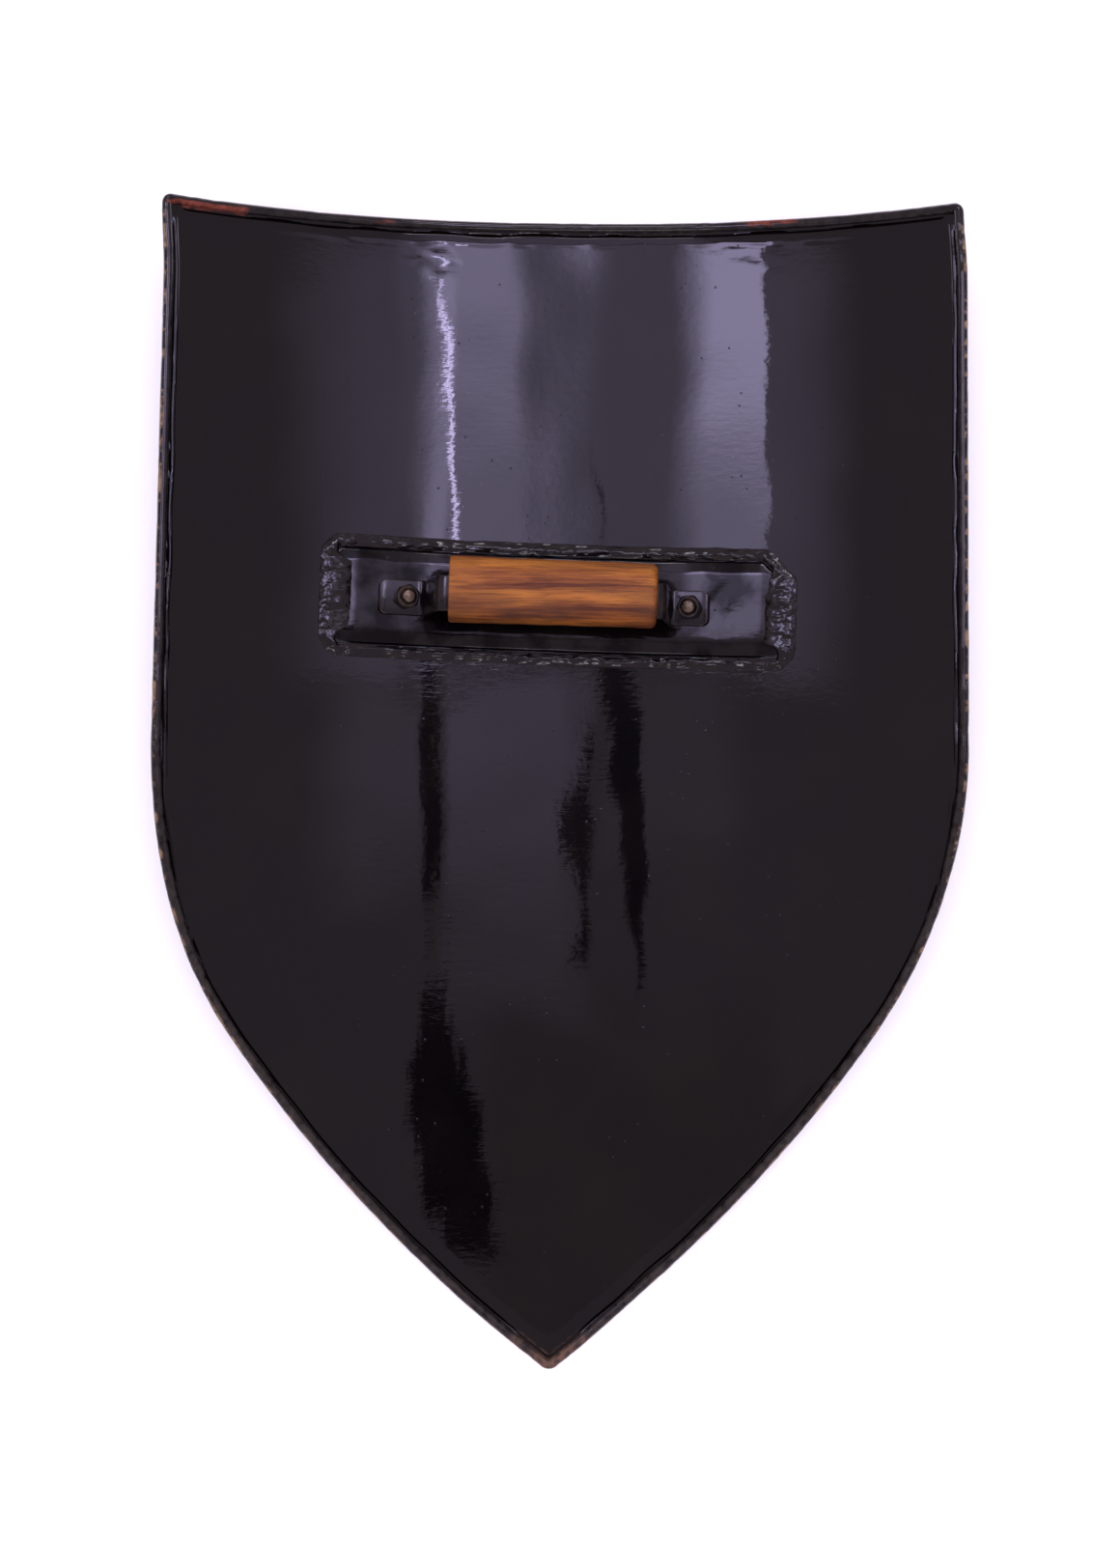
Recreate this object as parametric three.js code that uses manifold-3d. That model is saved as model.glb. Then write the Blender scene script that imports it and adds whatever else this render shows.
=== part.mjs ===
// Heater shield of bent sheet steel, lying on its convex front with the grip side up.
// Millimetres. +Z is up, +Y runs to the straight top edge, +X to the right as seen from the grip side.
import * as THREE from "three";
import { mergeVertices } from "three/addons/utils/BufferGeometryUtils.js";
import Module from "manifold-3d";

// ---- Driving dimensions --------------------------------------------------------------------------

// The sheet and its bend
const SHEET = 1.5; // sheet thickness
const FRONT_RADIUS = 345; // bend radius of the front face
const FLAT_HALF = 16; // half width of the flat strip along the middle of the front
const ROLL_RADIUS = 2.8; // outer radius of the rolled rim
const LIP_ANGLE = THREE.MathUtils.degToRad(15); // how far the roll's lip turns in past its inner side
const ROLL_STEPS = 10;

// Outline of the flat blank, measured at the outside of the rim
const TOP_Y = 329.4; // straight top edge, half the length from the origin
const TOP_HALF = 237.4; // half width of the blank at the top edge
const SIDE_HALF = 241.3; // half width of the blank where the sides start to curve
const SHOULDER_Y = 26.4; // where the sides start to curve
const SHOULDER_RADIUS = 275;
const SHOULDER_TURN = THREE.MathUtils.degToRad(36); // how far the tighter upper curve turns
const FLANK_RADIUS = 988; // the long flatter curve down to the point
const CORNER_RADIUS = 5.5;
const TIP_RADIUS = 7;
const CORNER_STEPS = 4;
const SIDE_STEPS = 5;
const SHOULDER_STEPS = 8;
const FLANK_STEPS = 12;
const TIP_STEPS = 3;

// The grip fitting, which sits a little crooked on the shell
const FITTING_Y = 108.6;
const FITTING_TURN = THREE.MathUtils.degToRad(-1.4);
const GAP = 0.3; // clearance between pieces that touch

// Backing plate and the weld bead round it
const PLATE_LENGTH = 262;
const PLATE_WIDTH = 55;
const PLATE_THICKNESS = 3;
const PLATE_CHAMFER = 13;
const PLATE_LOW = SHEET + GAP;
const PLATE_HIGH = PLATE_LOW + PLATE_THICKNESS;
const BEAD_PROFILE = [
  [GAP, PLATE_LOW],
  [GAP, PLATE_HIGH + 0.2],
  [2.2, PLATE_HIGH + 1.2],
  [5.0, PLATE_HIGH - 0.8],
  [7.0, PLATE_LOW],
]; // distance out from the plate, height above the front face

// Strap: flat bar bent into a bridge
const STRAP_WIDTH = 20;
const STRAP_THICKNESS = 3;
const STRAP_HEIGHT = 50; // middle of the raised bar above the lowest point of the shield
const LEFT_FOOT = { end: -102.6, bend: -76.5, bolt: -87.5, top: -67 };
const RIGHT_FOOT = { end: 86.6, bend: 63.5, bolt: 76.2, top: 59.5 };
const FOOT_BEND_RADIUS = 4.5;
const TOP_BEND_RADIUS = 6.5;
const BEND_STEPS = 4;
const FOOT_EASE = 1.3; // the flat foot clears the dished plate by this share of the dish below it
const FOOT_CORNER_RADIUS = 4;
const FOOT_CORNER_STEPS = 4;

// Wooden grip
const GRIP = { left: -61, right: 55.4, across: 2.6 }; // ends along the strap, middle across it
const GRIP_WIDTH = { left: 37.4, right: 35.8 };
const GRIP_DEPTH = { left: 34.4, right: 33 };
const GRIP_SQUARENESS = 2.6; // 2 is an ellipse, higher is squarer
const GRIP_CHAMFER = 1.4;
const GRIP_SIDES = 28;

// M8 fasteners
const BOLT_RADIUS = 4;
const BOLT_HEAD_RADIUS = 9;
const BOLT_HEAD_HEIGHT = 3.6;
const BOLT_STICK_OUT = 3.4; // bolt end beyond the nut
const BOLT_SIDES = 20;
const HOLE_CUT = 60; // length of the cutter for a bolt hole, longer than all it passes through
const NUT_ACROSS_FLATS = 13;
const NUT_HEIGHT = 6.5;
const NUT_CHAMFER = { across: 0.2, down: 1.1 }; // how far the corners are turned off, in from a flat and down
const NUT_TURN = { left: 0.35, right: 0.1 }; // how each nut happened to stop, radians

// ---- Solids from triangles -----------------------------------------------------------------------

const wasm = await Module();
wasm.setup();

// Two triangles for the quad a-b-c-d.
function quad(a, b, c, d) {
  return [a, b, c, a, c, d];
}

// A geometry from a flat list of corners, with shared corners merged and collapsed triangles dropped.
function geometryFrom(corners) {
  const loose = new THREE.BufferGeometry().setFromPoints(corners);
  const merged = mergeVertices(loose, 1e-3);
  const index = [...merged.index.array];
  const kept = [];
  for (let i = 0; i < index.length; i += 3) {
    const [a, b, c] = index.slice(i, i + 3);
    if (a !== b && b !== c && c !== a) kept.push(a, b, c);
  }
  merged.setIndex(kept);
  return merged;
}

function toManifold(geometry) {
  const bare = geometry.clone();
  bare.deleteAttribute("normal");
  bare.deleteAttribute("uv");
  const merged = mergeVertices(bare, 1e-4);
  return new wasm.Manifold(
    new wasm.Mesh({
      numProp: 3,
      vertProperties: new Float32Array(merged.attributes.position.array),
      triVerts: new Uint32Array(merged.index.array),
    }),
  );
}

function fromManifold(solid) {
  const mesh = solid.getMesh();
  const geometry = new THREE.BufferGeometry();
  geometry.setAttribute("position", new THREE.BufferAttribute(new Float32Array(mesh.vertProperties), 3));
  geometry.setIndex([...mesh.triVerts]);
  return geometry;
}

// Faces between rings of corners, each ring an equally long closed loop.
function skin(rings) {
  return rings.slice(1).flatMap((ring, k) =>
    ring.flatMap((corner, i) => {
      const next = (i + 1) % ring.length;
      return quad(rings[k][i], rings[k][next], ring[next], corner);
    }),
  );
}

// A fan that closes one end of a lofted body.
function cap(ring, facingBack) {
  const middle = ring.reduce((sum, corner) => sum.add(corner), new THREE.Vector3());
  middle.divideScalar(ring.length);
  return ring.flatMap((corner, i) => {
    const next = ring[(i + 1) % ring.length];
    return facingBack ? [middle, next, corner] : [middle, corner, next];
  });
}

// ---- The bent sheet ------------------------------------------------------------------------------

// Where a point of the flat blank ends up once the sheet is bent. Height is measured up from the front.
function bend(across, along, height) {
  const past = Math.max(Math.abs(across) - FLAT_HALF, 0);
  const angle = past / (FRONT_RADIUS - ROLL_RADIUS);
  const radius = FRONT_RADIUS - height;
  const x = Math.min(Math.abs(across), FLAT_HALF) + radius * Math.sin(angle);
  const z = FRONT_RADIUS - radius * Math.cos(angle);
  return new THREE.Vector3(Math.sign(across) * x, along, z);
}

// How far along a vector both edges of a corner move in by one.
function mitre(inwardA, inwardB) {
  return inwardA.clone().add(inwardB).divideScalar(1 + inwardA.dot(inwardB));
}

// A point of the outline moved in from the edge. Past a corner's own radius all its points meet on the mitre.
function inset(station, distance) {
  const { point, inward, corner } = station;
  if (!corner || distance <= corner.radius) return point.clone().addScaledVector(inward, distance);
  return corner.centre.clone().addScaledVector(corner.mitre, distance - corner.radius);
}

function arcStation(centre, radius, angle, corner) {
  const outward = new THREE.Vector2(Math.cos(angle), -Math.sin(angle));
  return { point: centre.clone().addScaledVector(outward, radius), inward: outward.negate(), corner };
}

// Stations round the blank, clockwise from the middle of the top edge, as point, inward normal and corner.
function outlineStations() {
  const shoulderCentre = new THREE.Vector2(SIDE_HALF - SHOULDER_RADIUS, SHOULDER_Y);
  const joint = arcStation(shoulderCentre, SHOULDER_RADIUS, SHOULDER_TURN);
  const flankCentre = joint.point.clone().addScaledVector(joint.inward, FLANK_RADIUS);

  const tipDrop = Math.sqrt((FLANK_RADIUS - TIP_RADIUS) ** 2 - flankCentre.x ** 2);
  const tipCentre = new THREE.Vector2(0, flankCentre.y - tipDrop);
  const tipStart = Math.atan2(tipDrop, -flankCentre.x);
  const tip = {
    centre: tipCentre,
    radius: TIP_RADIUS,
    mitre: new THREE.Vector2(0, 1 / Math.sin(tipStart)),
  };

  const insideFlank = FLANK_RADIUS - ROLL_RADIUS;
  const flankEnd = Math.acos((FLAT_HALF - flankCentre.x) / insideFlank);

  const lower = [];
  for (let i = 0; i < SHOULDER_STEPS; i++) {
    lower.push(arcStation(shoulderCentre, SHOULDER_RADIUS, (SHOULDER_TURN * i) / SHOULDER_STEPS));
  }
  for (let i = 0; i <= FLANK_STEPS; i++) {
    const angle = SHOULDER_TURN + ((flankEnd - SHOULDER_TURN) * i) / FLANK_STEPS;
    lower.push(arcStation(flankCentre, FLANK_RADIUS, angle));
  }

  const topInward = new THREE.Vector2(0, -1);
  const topCorner = new THREE.Vector2(TOP_HALF, TOP_Y);
  const sideEnd = new THREE.Vector2(SIDE_HALF, SHOULDER_Y);
  const sideRun = sideEnd.clone().sub(topCorner);
  const sideInward = new THREE.Vector2(sideRun.y, -sideRun.x).normalize();
  const cornerMitre = mitre(topInward, sideInward);
  const corner = {
    centre: topCorner.clone().addScaledVector(cornerMitre, CORNER_RADIUS),
    radius: CORNER_RADIUS,
    mitre: cornerMitre,
  };

  const columns = lower
    .map((station) => inset(station, ROLL_RADIUS).x)
    .filter((across) => across < TOP_HALF - CORNER_RADIUS - ROLL_RADIUS)
    .reverse();
  const top = columns.map((across) => ({ point: new THREE.Vector2(across, TOP_Y), inward: topInward }));

  const cornerStations = [];
  const sideAngle = Math.atan2(sideInward.y, -sideInward.x);
  for (let i = 0; i <= CORNER_STEPS; i++) {
    const angle = THREE.MathUtils.lerp(-Math.PI / 2, sideAngle, i / CORNER_STEPS);
    cornerStations.push(arcStation(corner.centre, CORNER_RADIUS, angle, corner));
  }
  const side = [];
  const sideTop = cornerStations[CORNER_STEPS].point;
  for (let i = 1; i < SIDE_STEPS; i++) {
    side.push({ point: sideTop.clone().lerp(sideEnd, i / SIDE_STEPS), inward: sideInward });
  }

  const tipStations = [];
  for (let i = 0; i < TIP_STEPS; i++) {
    const angle = THREE.MathUtils.lerp(tipStart, Math.PI / 2, i / TIP_STEPS);
    tipStations.push(arcStation(tip.centre, TIP_RADIUS, angle, tip));
  }
  const right = [...top, ...cornerStations, ...side, ...lower, ...tipStations];
  const left = right.map(mirrored).reverse();
  const stations = [...right, arcStation(tip.centre, TIP_RADIUS, Math.PI / 2, tip), ...left];
  return { stations, columns: [...columns.map((across) => -across).reverse(), ...columns] };
}

function mirrored(station) {
  const flip = (v) => new THREE.Vector2(-v.x, v.y);
  const { point, inward, corner } = station;
  const flippedCorner = corner && { centre: flip(corner.centre), radius: corner.radius, mitre: flip(corner.mitre) };
  return { point: flip(point), inward: flip(inward), corner: flippedCorner };
}

// Flat faces of a blank outline, cut along the bend columns so that every facet follows the bend.
function bentFace(loop, columns, height, facingUp) {
  const limits = [-Infinity, ...columns, Infinity];
  return limits.slice(1).flatMap((high, k) => {
    const band = loop.filter((p) => p.x > limits[k] - 1e-3 && p.x < high + 1e-3);
    if (band.length < 3) return [];
    return THREE.ShapeUtils.triangulateShape(band, []).flatMap((face) => {
      const [a, b, c] = face.map((i) => band[i]);
      const turnsLeft = b.clone().sub(a).cross(c.clone().sub(a)) > 0;
      const order = turnsLeft === facingUp ? [a, b, c] : [a, c, b];
      return order.map((p) => bend(p.x, p.y, height));
    });
  });
}

// The curl's section from straight below it round to the lip, then back along its inside.
function rollProfile() {
  const sweep = 1.5 * Math.PI + LIP_ANGLE;
  const side = (radius) =>
    Array.from({ length: ROLL_STEPS + 1 }, (_, i) => {
      const angle = -Math.PI / 2 - (sweep * i) / ROLL_STEPS;
      return [ROLL_RADIUS + radius * Math.cos(angle), ROLL_RADIUS + radius * Math.sin(angle)];
    });
  return [...side(ROLL_RADIUS), ...side(ROLL_RADIUS - SHEET).reverse()];
}

const { stations, columns } = outlineStations();

// The whole sheet: flat middle cut in bend columns, and the open roll all round it.
function shellGeometry() {
  const innerLoop = stations.map((station) => inset(station, ROLL_RADIUS));
  const profile = rollProfile();
  const sections = stations.map((station) =>
    profile.map(([distance, height]) => {
      const p = inset(station, distance);
      return bend(p.x, p.y, height);
    }),
  );
  const roll = sections.flatMap((section, k) => {
    const next = sections[(k + 1) % sections.length];
    return section.slice(1).flatMap((corner, j) => quad(section[j], corner, next[j + 1], next[j]));
  });
  return geometryFrom([
    ...roll,
    ...bentFace(innerLoop, columns, 0, false),
    ...bentFace(innerLoop, columns, SHEET, true),
  ]);
}

// ---- Backing plate and bead ----------------------------------------------------------------------

// A loop of the fitting, turned and moved to its place on the blank.
function onBlank(loop) {
  const middle = new THREE.Vector2(0, FITTING_Y);
  return loop.map((p) => p.clone().rotateAround(new THREE.Vector2(), FITTING_TURN).add(middle));
}

// Adds a corner wherever an edge of the loop crosses a bend column.
function splitAtColumns(loop) {
  return loop.flatMap((from, i) => {
    const to = loop[(i + 1) % loop.length];
    const crossings = columns.filter((c) => (from.x - c) * (to.x - c) < -1e-6);
    crossings.sort((a, b) => (a - b) * Math.sign(to.x - from.x));
    return [from, ...crossings.map((c) => from.clone().lerp(to, (c - from.x) / (to.x - from.x)))];
  });
}

// Plate outline, anticlockwise, with its upper right corner cut off and the others just eased.
function plateLoop() {
  const x = PLATE_LENGTH / 2;
  const y = PLATE_WIDTH / 2;
  const ease = PLATE_CHAMFER / 3;
  const points = [
    [-x + ease, -y],
    [x - ease, -y],
    [x, -y + ease],
    [x, y - PLATE_CHAMFER],
    [x - PLATE_CHAMFER, y],
    [-x + ease, y],
    [-x, y - ease],
    [-x, -y + ease],
  ];
  return onBlank(points.map(([px, py]) => new THREE.Vector2(px, py)));
}

// The plate lies close on the shell all over and follows its bend.
function plateGeometry() {
  const loop = splitAtColumns(plateLoop());
  const walls = loop.flatMap((p, i) => {
    const q = loop[(i + 1) % loop.length];
    return quad(
      bend(p.x, p.y, PLATE_LOW),
      bend(q.x, q.y, PLATE_LOW),
      bend(q.x, q.y, PLATE_HIGH),
      bend(p.x, p.y, PLATE_HIGH),
    );
  });
  return geometryFrom([
    ...walls,
    ...bentFace(loop, columns, PLATE_LOW, false),
    ...bentFace(loop, columns, PLATE_HIGH, true),
  ]);
}

// The plate's own loop moved out by a distance, keeping its edges parallel.
function outset(loop, distance) {
  return loop.map((p, i) => {
    const before = loop[(i + loop.length - 1) % loop.length];
    const after = loop[(i + 1) % loop.length];
    const outward = (from, to) => new THREE.Vector2(to.y - from.y, from.x - to.x).normalize();
    return p.clone().addScaledVector(mitre(outward(before, p), outward(p, after)), distance);
  });
}

// The bead follows the plate's edge, with the same section all the way round.
function beadGeometry() {
  const loop = splitAtColumns(plateLoop());
  const lines = BEAD_PROFILE.map(([distance, height]) =>
    outset(loop, distance).map((p) => bend(p.x, p.y, height)),
  );
  const rings = loop.map((_, i) => lines.map((line) => line[i]));
  return geometryFrom(skin([...rings, rings[0]]));
}

// ---- Strap and grip ------------------------------------------------------------------------------

// Height and slope of the plate's upper face below a point of the strap, along the strap.
function seat(across) {
  const past = Math.abs(across) - FLAT_HALF;
  const radius = FRONT_RADIUS - PLATE_HIGH;
  const angle = Math.asin(past / radius);
  return { height: FRONT_RADIUS - radius * Math.cos(angle), angle: Math.sign(across) * angle };
}

// The frame of a foot: its bolt's place on the plate, its slope, and the level of its underside.
function footFrame(foot) {
  const { height, angle } = seat(foot.bolt);
  const halfLength = Math.abs(foot.end - foot.bend) / 2;
  const lift = GAP + FOOT_EASE * (halfLength ** 2 / (2 * FRONT_RADIUS));
  const normal = new THREE.Vector2(-Math.sin(angle), Math.cos(angle));
  const along = new THREE.Vector2(Math.cos(angle), Math.sin(angle));
  return { seatPoint: new THREE.Vector2(foot.bolt, height), normal, along, angle, lift };
}

// Point of a foot's middle plane at a distance across the shield.
function footPoint(foot, across) {
  const { seatPoint, normal, along, lift } = footFrame(foot);
  const run = (across - foot.bolt) / along.x;
  return seatPoint.clone().addScaledVector(along, run).addScaledVector(normal, lift + STRAP_THICKNESS / 2);
}

// Replaces the inner corners of a path by short arcs.
function eased(points, radii) {
  return points.flatMap((p, i) => {
    if (i === 0 || i === points.length - 1) return [p];
    const back = points[i - 1].clone().sub(p).normalize();
    const ahead = points[i + 1].clone().sub(p).normalize();
    const half = Math.acos(back.dot(ahead)) / 2;
    const reach = radii[i - 1] / Math.tan(half);
    const curve = new THREE.QuadraticBezierCurve(
      p.clone().addScaledVector(back, reach),
      p,
      p.clone().addScaledVector(ahead, reach),
    );
    return curve.getPoints(BEND_STEPS);
  });
}

// Outline of a bar of even thickness along a path.
function barShape(path, thickness) {
  const edge = (side) =>
    path.map((p, i) => {
      const before = path[Math.max(i - 1, 0)];
      const after = path[Math.min(i + 1, path.length - 1)];
      const normal = (from, to) => new THREE.Vector2(from.y - to.y, to.x - from.x).normalize();
      const first = i === 0 ? normal(p, after) : normal(before, p);
      const second = i === path.length - 1 ? first : normal(p, after);
      return p.clone().addScaledVector(mitre(first, second), (side * thickness) / 2);
    });
  return new THREE.Shape([...edge(-1), ...edge(1).reverse()]);
}

// Extrudes a side view drawn across and up, and centres it on the strap's middle line.
function extrudedAcross(shape, width) {
  const geometry = new THREE.ExtrudeGeometry(shape, { depth: width, bevelEnabled: false, curveSegments: 8 });
  geometry.rotateX(Math.PI / 2);
  geometry.translate(0, width / 2, 0);
  return geometry;
}

// A rectangle with rounded corners seen from above, tall enough to trim the strap.
function trimBlock() {
  const x0 = LEFT_FOOT.end;
  const x1 = RIGHT_FOOT.end;
  const y = STRAP_WIDTH / 2;
  const r = FOOT_CORNER_RADIUS;
  const shape = new THREE.Shape();
  shape.absarc(x1 - r, y - r, r, 0, Math.PI / 2);
  shape.absarc(x0 + r, y - r, r, Math.PI / 2, Math.PI);
  shape.absarc(x0 + r, -y + r, r, Math.PI, 1.5 * Math.PI);
  shape.absarc(x1 - r, -y + r, r, 1.5 * Math.PI, 2 * Math.PI);
  const settings = { depth: 2 * STRAP_HEIGHT, bevelEnabled: false, curveSegments: FOOT_CORNER_STEPS };
  return new THREE.ExtrudeGeometry(shape, settings);
}

// Turns and moves a piece drawn about its own bolt axis to a bolt's place in the fitting's frame.
function atBolt(geometry, foot) {
  const { seatPoint, angle } = footFrame(foot);
  return geometry.rotateY(-angle).translate(seatPoint.x, 0, seatPoint.y);
}

// A cutter for the bolt's clearance hole, standing on the bolt's own axis.
function clearanceHole() {
  const radius = BOLT_RADIUS + GAP;
  return new THREE.CylinderGeometry(radius, radius, HOLE_CUT, BOLT_SIDES).rotateX(Math.PI / 2);
}

function boltHole(foot) {
  return atBolt(clearanceHole(), foot);
}

function strapGeometry() {
  const leftTop = new THREE.Vector2(LEFT_FOOT.top, STRAP_HEIGHT);
  const rightTop = new THREE.Vector2(RIGHT_FOOT.top, STRAP_HEIGHT);
  const path = eased(
    [
      footPoint(LEFT_FOOT, LEFT_FOOT.end - 2),
      footPoint(LEFT_FOOT, LEFT_FOOT.bend),
      leftTop,
      rightTop,
      footPoint(RIGHT_FOOT, RIGHT_FOOT.bend),
      footPoint(RIGHT_FOOT, RIGHT_FOOT.end + 2),
    ],
    [FOOT_BEND_RADIUS, TOP_BEND_RADIUS, TOP_BEND_RADIUS, FOOT_BEND_RADIUS],
  );
  const bar = toManifold(extrudedAcross(barShape(path, STRAP_THICKNESS), STRAP_WIDTH));
  const trimmed = bar.intersect(toManifold(trimBlock()));
  const bored = trimmed.subtract(toManifold(boltHole(LEFT_FOOT)));
  return fromManifold(bored.subtract(toManifold(boltHole(RIGHT_FOOT))));
}

// One cross-section of the grip, a rounded square, shrunk at the eased ends.
function gripRing(across, share, shrink) {
  const halfWidth = THREE.MathUtils.lerp(GRIP_WIDTH.left, GRIP_WIDTH.right, share) / 2 - shrink;
  const halfDepth = THREE.MathUtils.lerp(GRIP_DEPTH.left, GRIP_DEPTH.right, share) / 2 - shrink;
  const rounded = (value) => Math.sign(value) * Math.abs(value) ** (2 / GRIP_SQUARENESS);
  return Array.from({ length: GRIP_SIDES }, (_, i) => {
    const angle = (2 * Math.PI * i) / GRIP_SIDES;
    const y = GRIP.across + halfWidth * rounded(Math.cos(angle));
    const z = STRAP_HEIGHT + halfDepth * rounded(Math.sin(angle));
    return new THREE.Vector3(across, y, z);
  });
}

// The grip, with the slot that the strap runs through.
function gripGeometry() {
  const rings = [
    gripRing(GRIP.left, 0, GRIP_CHAMFER),
    gripRing(GRIP.left + GRIP_CHAMFER, 0, 0),
    gripRing(GRIP.right - GRIP_CHAMFER, 1, 0),
    gripRing(GRIP.right, 1, GRIP_CHAMFER),
  ];
  const body = geometryFrom([...skin(rings), ...cap(rings[0], true), ...cap(rings[3], false)]);
  const slotLength = 2 * (GRIP.right - GRIP.left);
  const slot = new THREE.BoxGeometry(slotLength, STRAP_WIDTH + 2 * GAP, STRAP_THICKNESS + 2 * GAP);
  slot.translate(0, 0, STRAP_HEIGHT);
  return fromManifold(toManifold(body).subtract(toManifold(slot)));
}

// ---- Fasteners -----------------------------------------------------------------------------------

// Level above the plate's upper face where the nut starts, and the front face below it.
function boltLevels(foot) {
  const nutStart = footFrame(foot).lift + STRAP_THICKNESS + GAP;
  const headStart = -PLATE_HIGH - GAP;
  return { nutStart, headStart };
}

// Round-headed bolt from the front, through shell, plate and strap.
function boltGeometry(foot) {
  const { nutStart, headStart } = boltLevels(foot);
  const end = nutStart + NUT_HEIGHT + BOLT_STICK_OUT;
  const profile = [
    [0, headStart - BOLT_HEAD_HEIGHT],
    [BOLT_HEAD_RADIUS * 0.45, headStart - BOLT_HEAD_HEIGHT * 0.92],
    [BOLT_HEAD_RADIUS * 0.8, headStart - BOLT_HEAD_HEIGHT * 0.62],
    [BOLT_HEAD_RADIUS, headStart - BOLT_HEAD_HEIGHT * 0.2],
    [BOLT_HEAD_RADIUS, headStart],
    [BOLT_RADIUS, headStart],
    [BOLT_RADIUS, end - 1.2],
    [BOLT_RADIUS * 0.7, end - 0.3],
    [0, end],
  ].map(([r, z]) => new THREE.Vector2(r, z));
  const lathe = new THREE.LatheGeometry(profile, BOLT_SIDES).rotateX(Math.PI / 2);
  return atBolt(lathe, foot);
}

// Hexagon nut with chamfered corners.
function nutGeometry(foot, turn) {
  const { nutStart } = boltLevels(foot);
  const cornerRadius = NUT_ACROSS_FLATS / Math.sqrt(3);
  const prism = new THREE.CylinderGeometry(cornerRadius, cornerRadius, NUT_HEIGHT, 6);
  prism.rotateX(Math.PI / 2).rotateZ(turn).translate(0, 0, NUT_HEIGHT / 2);
  const rim = NUT_ACROSS_FLATS / 2 - NUT_CHAMFER.across;
  const wide = cornerRadius + NUT_CHAMFER.across;
  const envelope = new THREE.LatheGeometry(
    [
      [0, -1],
      [wide, -1],
      [wide, NUT_HEIGHT - NUT_CHAMFER.down],
      [rim, NUT_HEIGHT + NUT_CHAMFER.across],
      [0, NUT_HEIGHT + NUT_CHAMFER.across],
    ].map(([r, z]) => new THREE.Vector2(r, z)),
    BOLT_SIDES,
  ).rotateX(Math.PI / 2);
  const solid = toManifold(prism).intersect(toManifold(envelope)).subtract(toManifold(clearanceHole()));
  return atBolt(fromManifold(solid).translate(0, 0, nutStart), foot);
}

// A shell or plate with both bolt holes cut through it.
function boredSheet(geometry) {
  const holes = [LEFT_FOOT, RIGHT_FOOT].map((foot) => toManifold(placed(boltHole(foot))));
  return fromManifold(holes.reduce((solid, hole) => solid.subtract(hole), toManifold(geometry)));
}

// The fitting's own frame turned and moved to its place on the shield.
function placed(geometry) {
  return geometry.rotateZ(FITTING_TURN).translate(0, FITTING_Y, 0);
}

// ---- The shield ----------------------------------------------------------------------------------

const enamel = new THREE.MeshStandardMaterial({ color: 0x1c191b, roughness: 0.25, metalness: 0 });
const plateEnamel = new THREE.MeshStandardMaterial({ color: 0x201d1f, roughness: 0.2, metalness: 0 });
const beadEnamel = new THREE.MeshStandardMaterial({ color: 0x2a2523, roughness: 0.35, metalness: 0 });
const strapEnamel = new THREE.MeshStandardMaterial({ color: 0x242226, roughness: 0.3, metalness: 0 });
const wood = new THREE.MeshStandardMaterial({ color: 0xa0622e, roughness: 0.5, metalness: 0 });
const steel = new THREE.MeshStandardMaterial({ color: 0x6b6257, roughness: 0.45, metalness: 0.9 });

const shield = new THREE.Group();

function addPiece(parent, name, geometry, material) {
  geometry.computeVertexNormals();
  const mesh = new THREE.Mesh(geometry, material);
  mesh.name = name;
  parent.add(mesh);
}

addPiece(shield, "shell", boredSheet(shellGeometry()), enamel);
addPiece(shield, "backing_plate", boredSheet(plateGeometry()), plateEnamel);
addPiece(shield, "weld_bead", beadGeometry(), beadEnamel);

const fitting = new THREE.Group();
fitting.position.set(0, FITTING_Y, 0);
fitting.rotation.z = FITTING_TURN;
shield.add(fitting);
addPiece(fitting, "grip_strap", strapGeometry(), strapEnamel);
addPiece(fitting, "wood_grip", gripGeometry(), wood);
for (const [side, foot] of [
  ["left", LEFT_FOOT],
  ["right", RIGHT_FOOT],
]) {
  addPiece(fitting, "bolt_" + side, boltGeometry(foot), steel);
  addPiece(fitting, "nut_" + side, nutGeometry(foot, NUT_TURN[side]), steel);
}

export default shield;
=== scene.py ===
"""Looks of a heater shield of bent sheet steel, seen from its grip side and lying on its convex front.

The sheet, the plate, the weld, the strap, the grip and the fasteners are modelled here at the places that
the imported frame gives. Sizes are in millimetres unless a name says otherwise. +Z is up, +Y runs to the
straight top edge and +X to the right as the grip side is seen.
"""

import logging
import math
from collections.abc import Sequence
from dataclasses import dataclass, field
from enum import Enum

import bmesh
import bpy
import numpy as np
from bpy.types import ID, Material, Mesh, Node, NodeSocket, NodeTree, Object
from mathutils import Matrix, Vector


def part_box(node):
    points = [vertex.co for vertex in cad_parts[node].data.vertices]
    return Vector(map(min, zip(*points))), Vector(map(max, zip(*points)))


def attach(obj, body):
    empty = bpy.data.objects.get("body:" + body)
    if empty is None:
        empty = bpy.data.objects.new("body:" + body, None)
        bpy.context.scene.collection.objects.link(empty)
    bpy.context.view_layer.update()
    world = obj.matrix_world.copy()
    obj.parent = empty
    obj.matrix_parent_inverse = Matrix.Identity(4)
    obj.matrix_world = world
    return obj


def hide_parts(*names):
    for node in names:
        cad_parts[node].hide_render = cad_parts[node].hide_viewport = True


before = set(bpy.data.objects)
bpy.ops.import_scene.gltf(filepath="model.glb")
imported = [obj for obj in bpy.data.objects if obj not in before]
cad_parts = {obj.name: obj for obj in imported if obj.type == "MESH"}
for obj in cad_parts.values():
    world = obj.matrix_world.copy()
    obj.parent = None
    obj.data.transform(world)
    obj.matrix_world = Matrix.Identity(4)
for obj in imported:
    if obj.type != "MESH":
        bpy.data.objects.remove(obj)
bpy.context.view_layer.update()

MM = 0.001
MERGE = 0.002
BODY = "root"
LOG = logging.getLogger("heater_shield")

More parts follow.
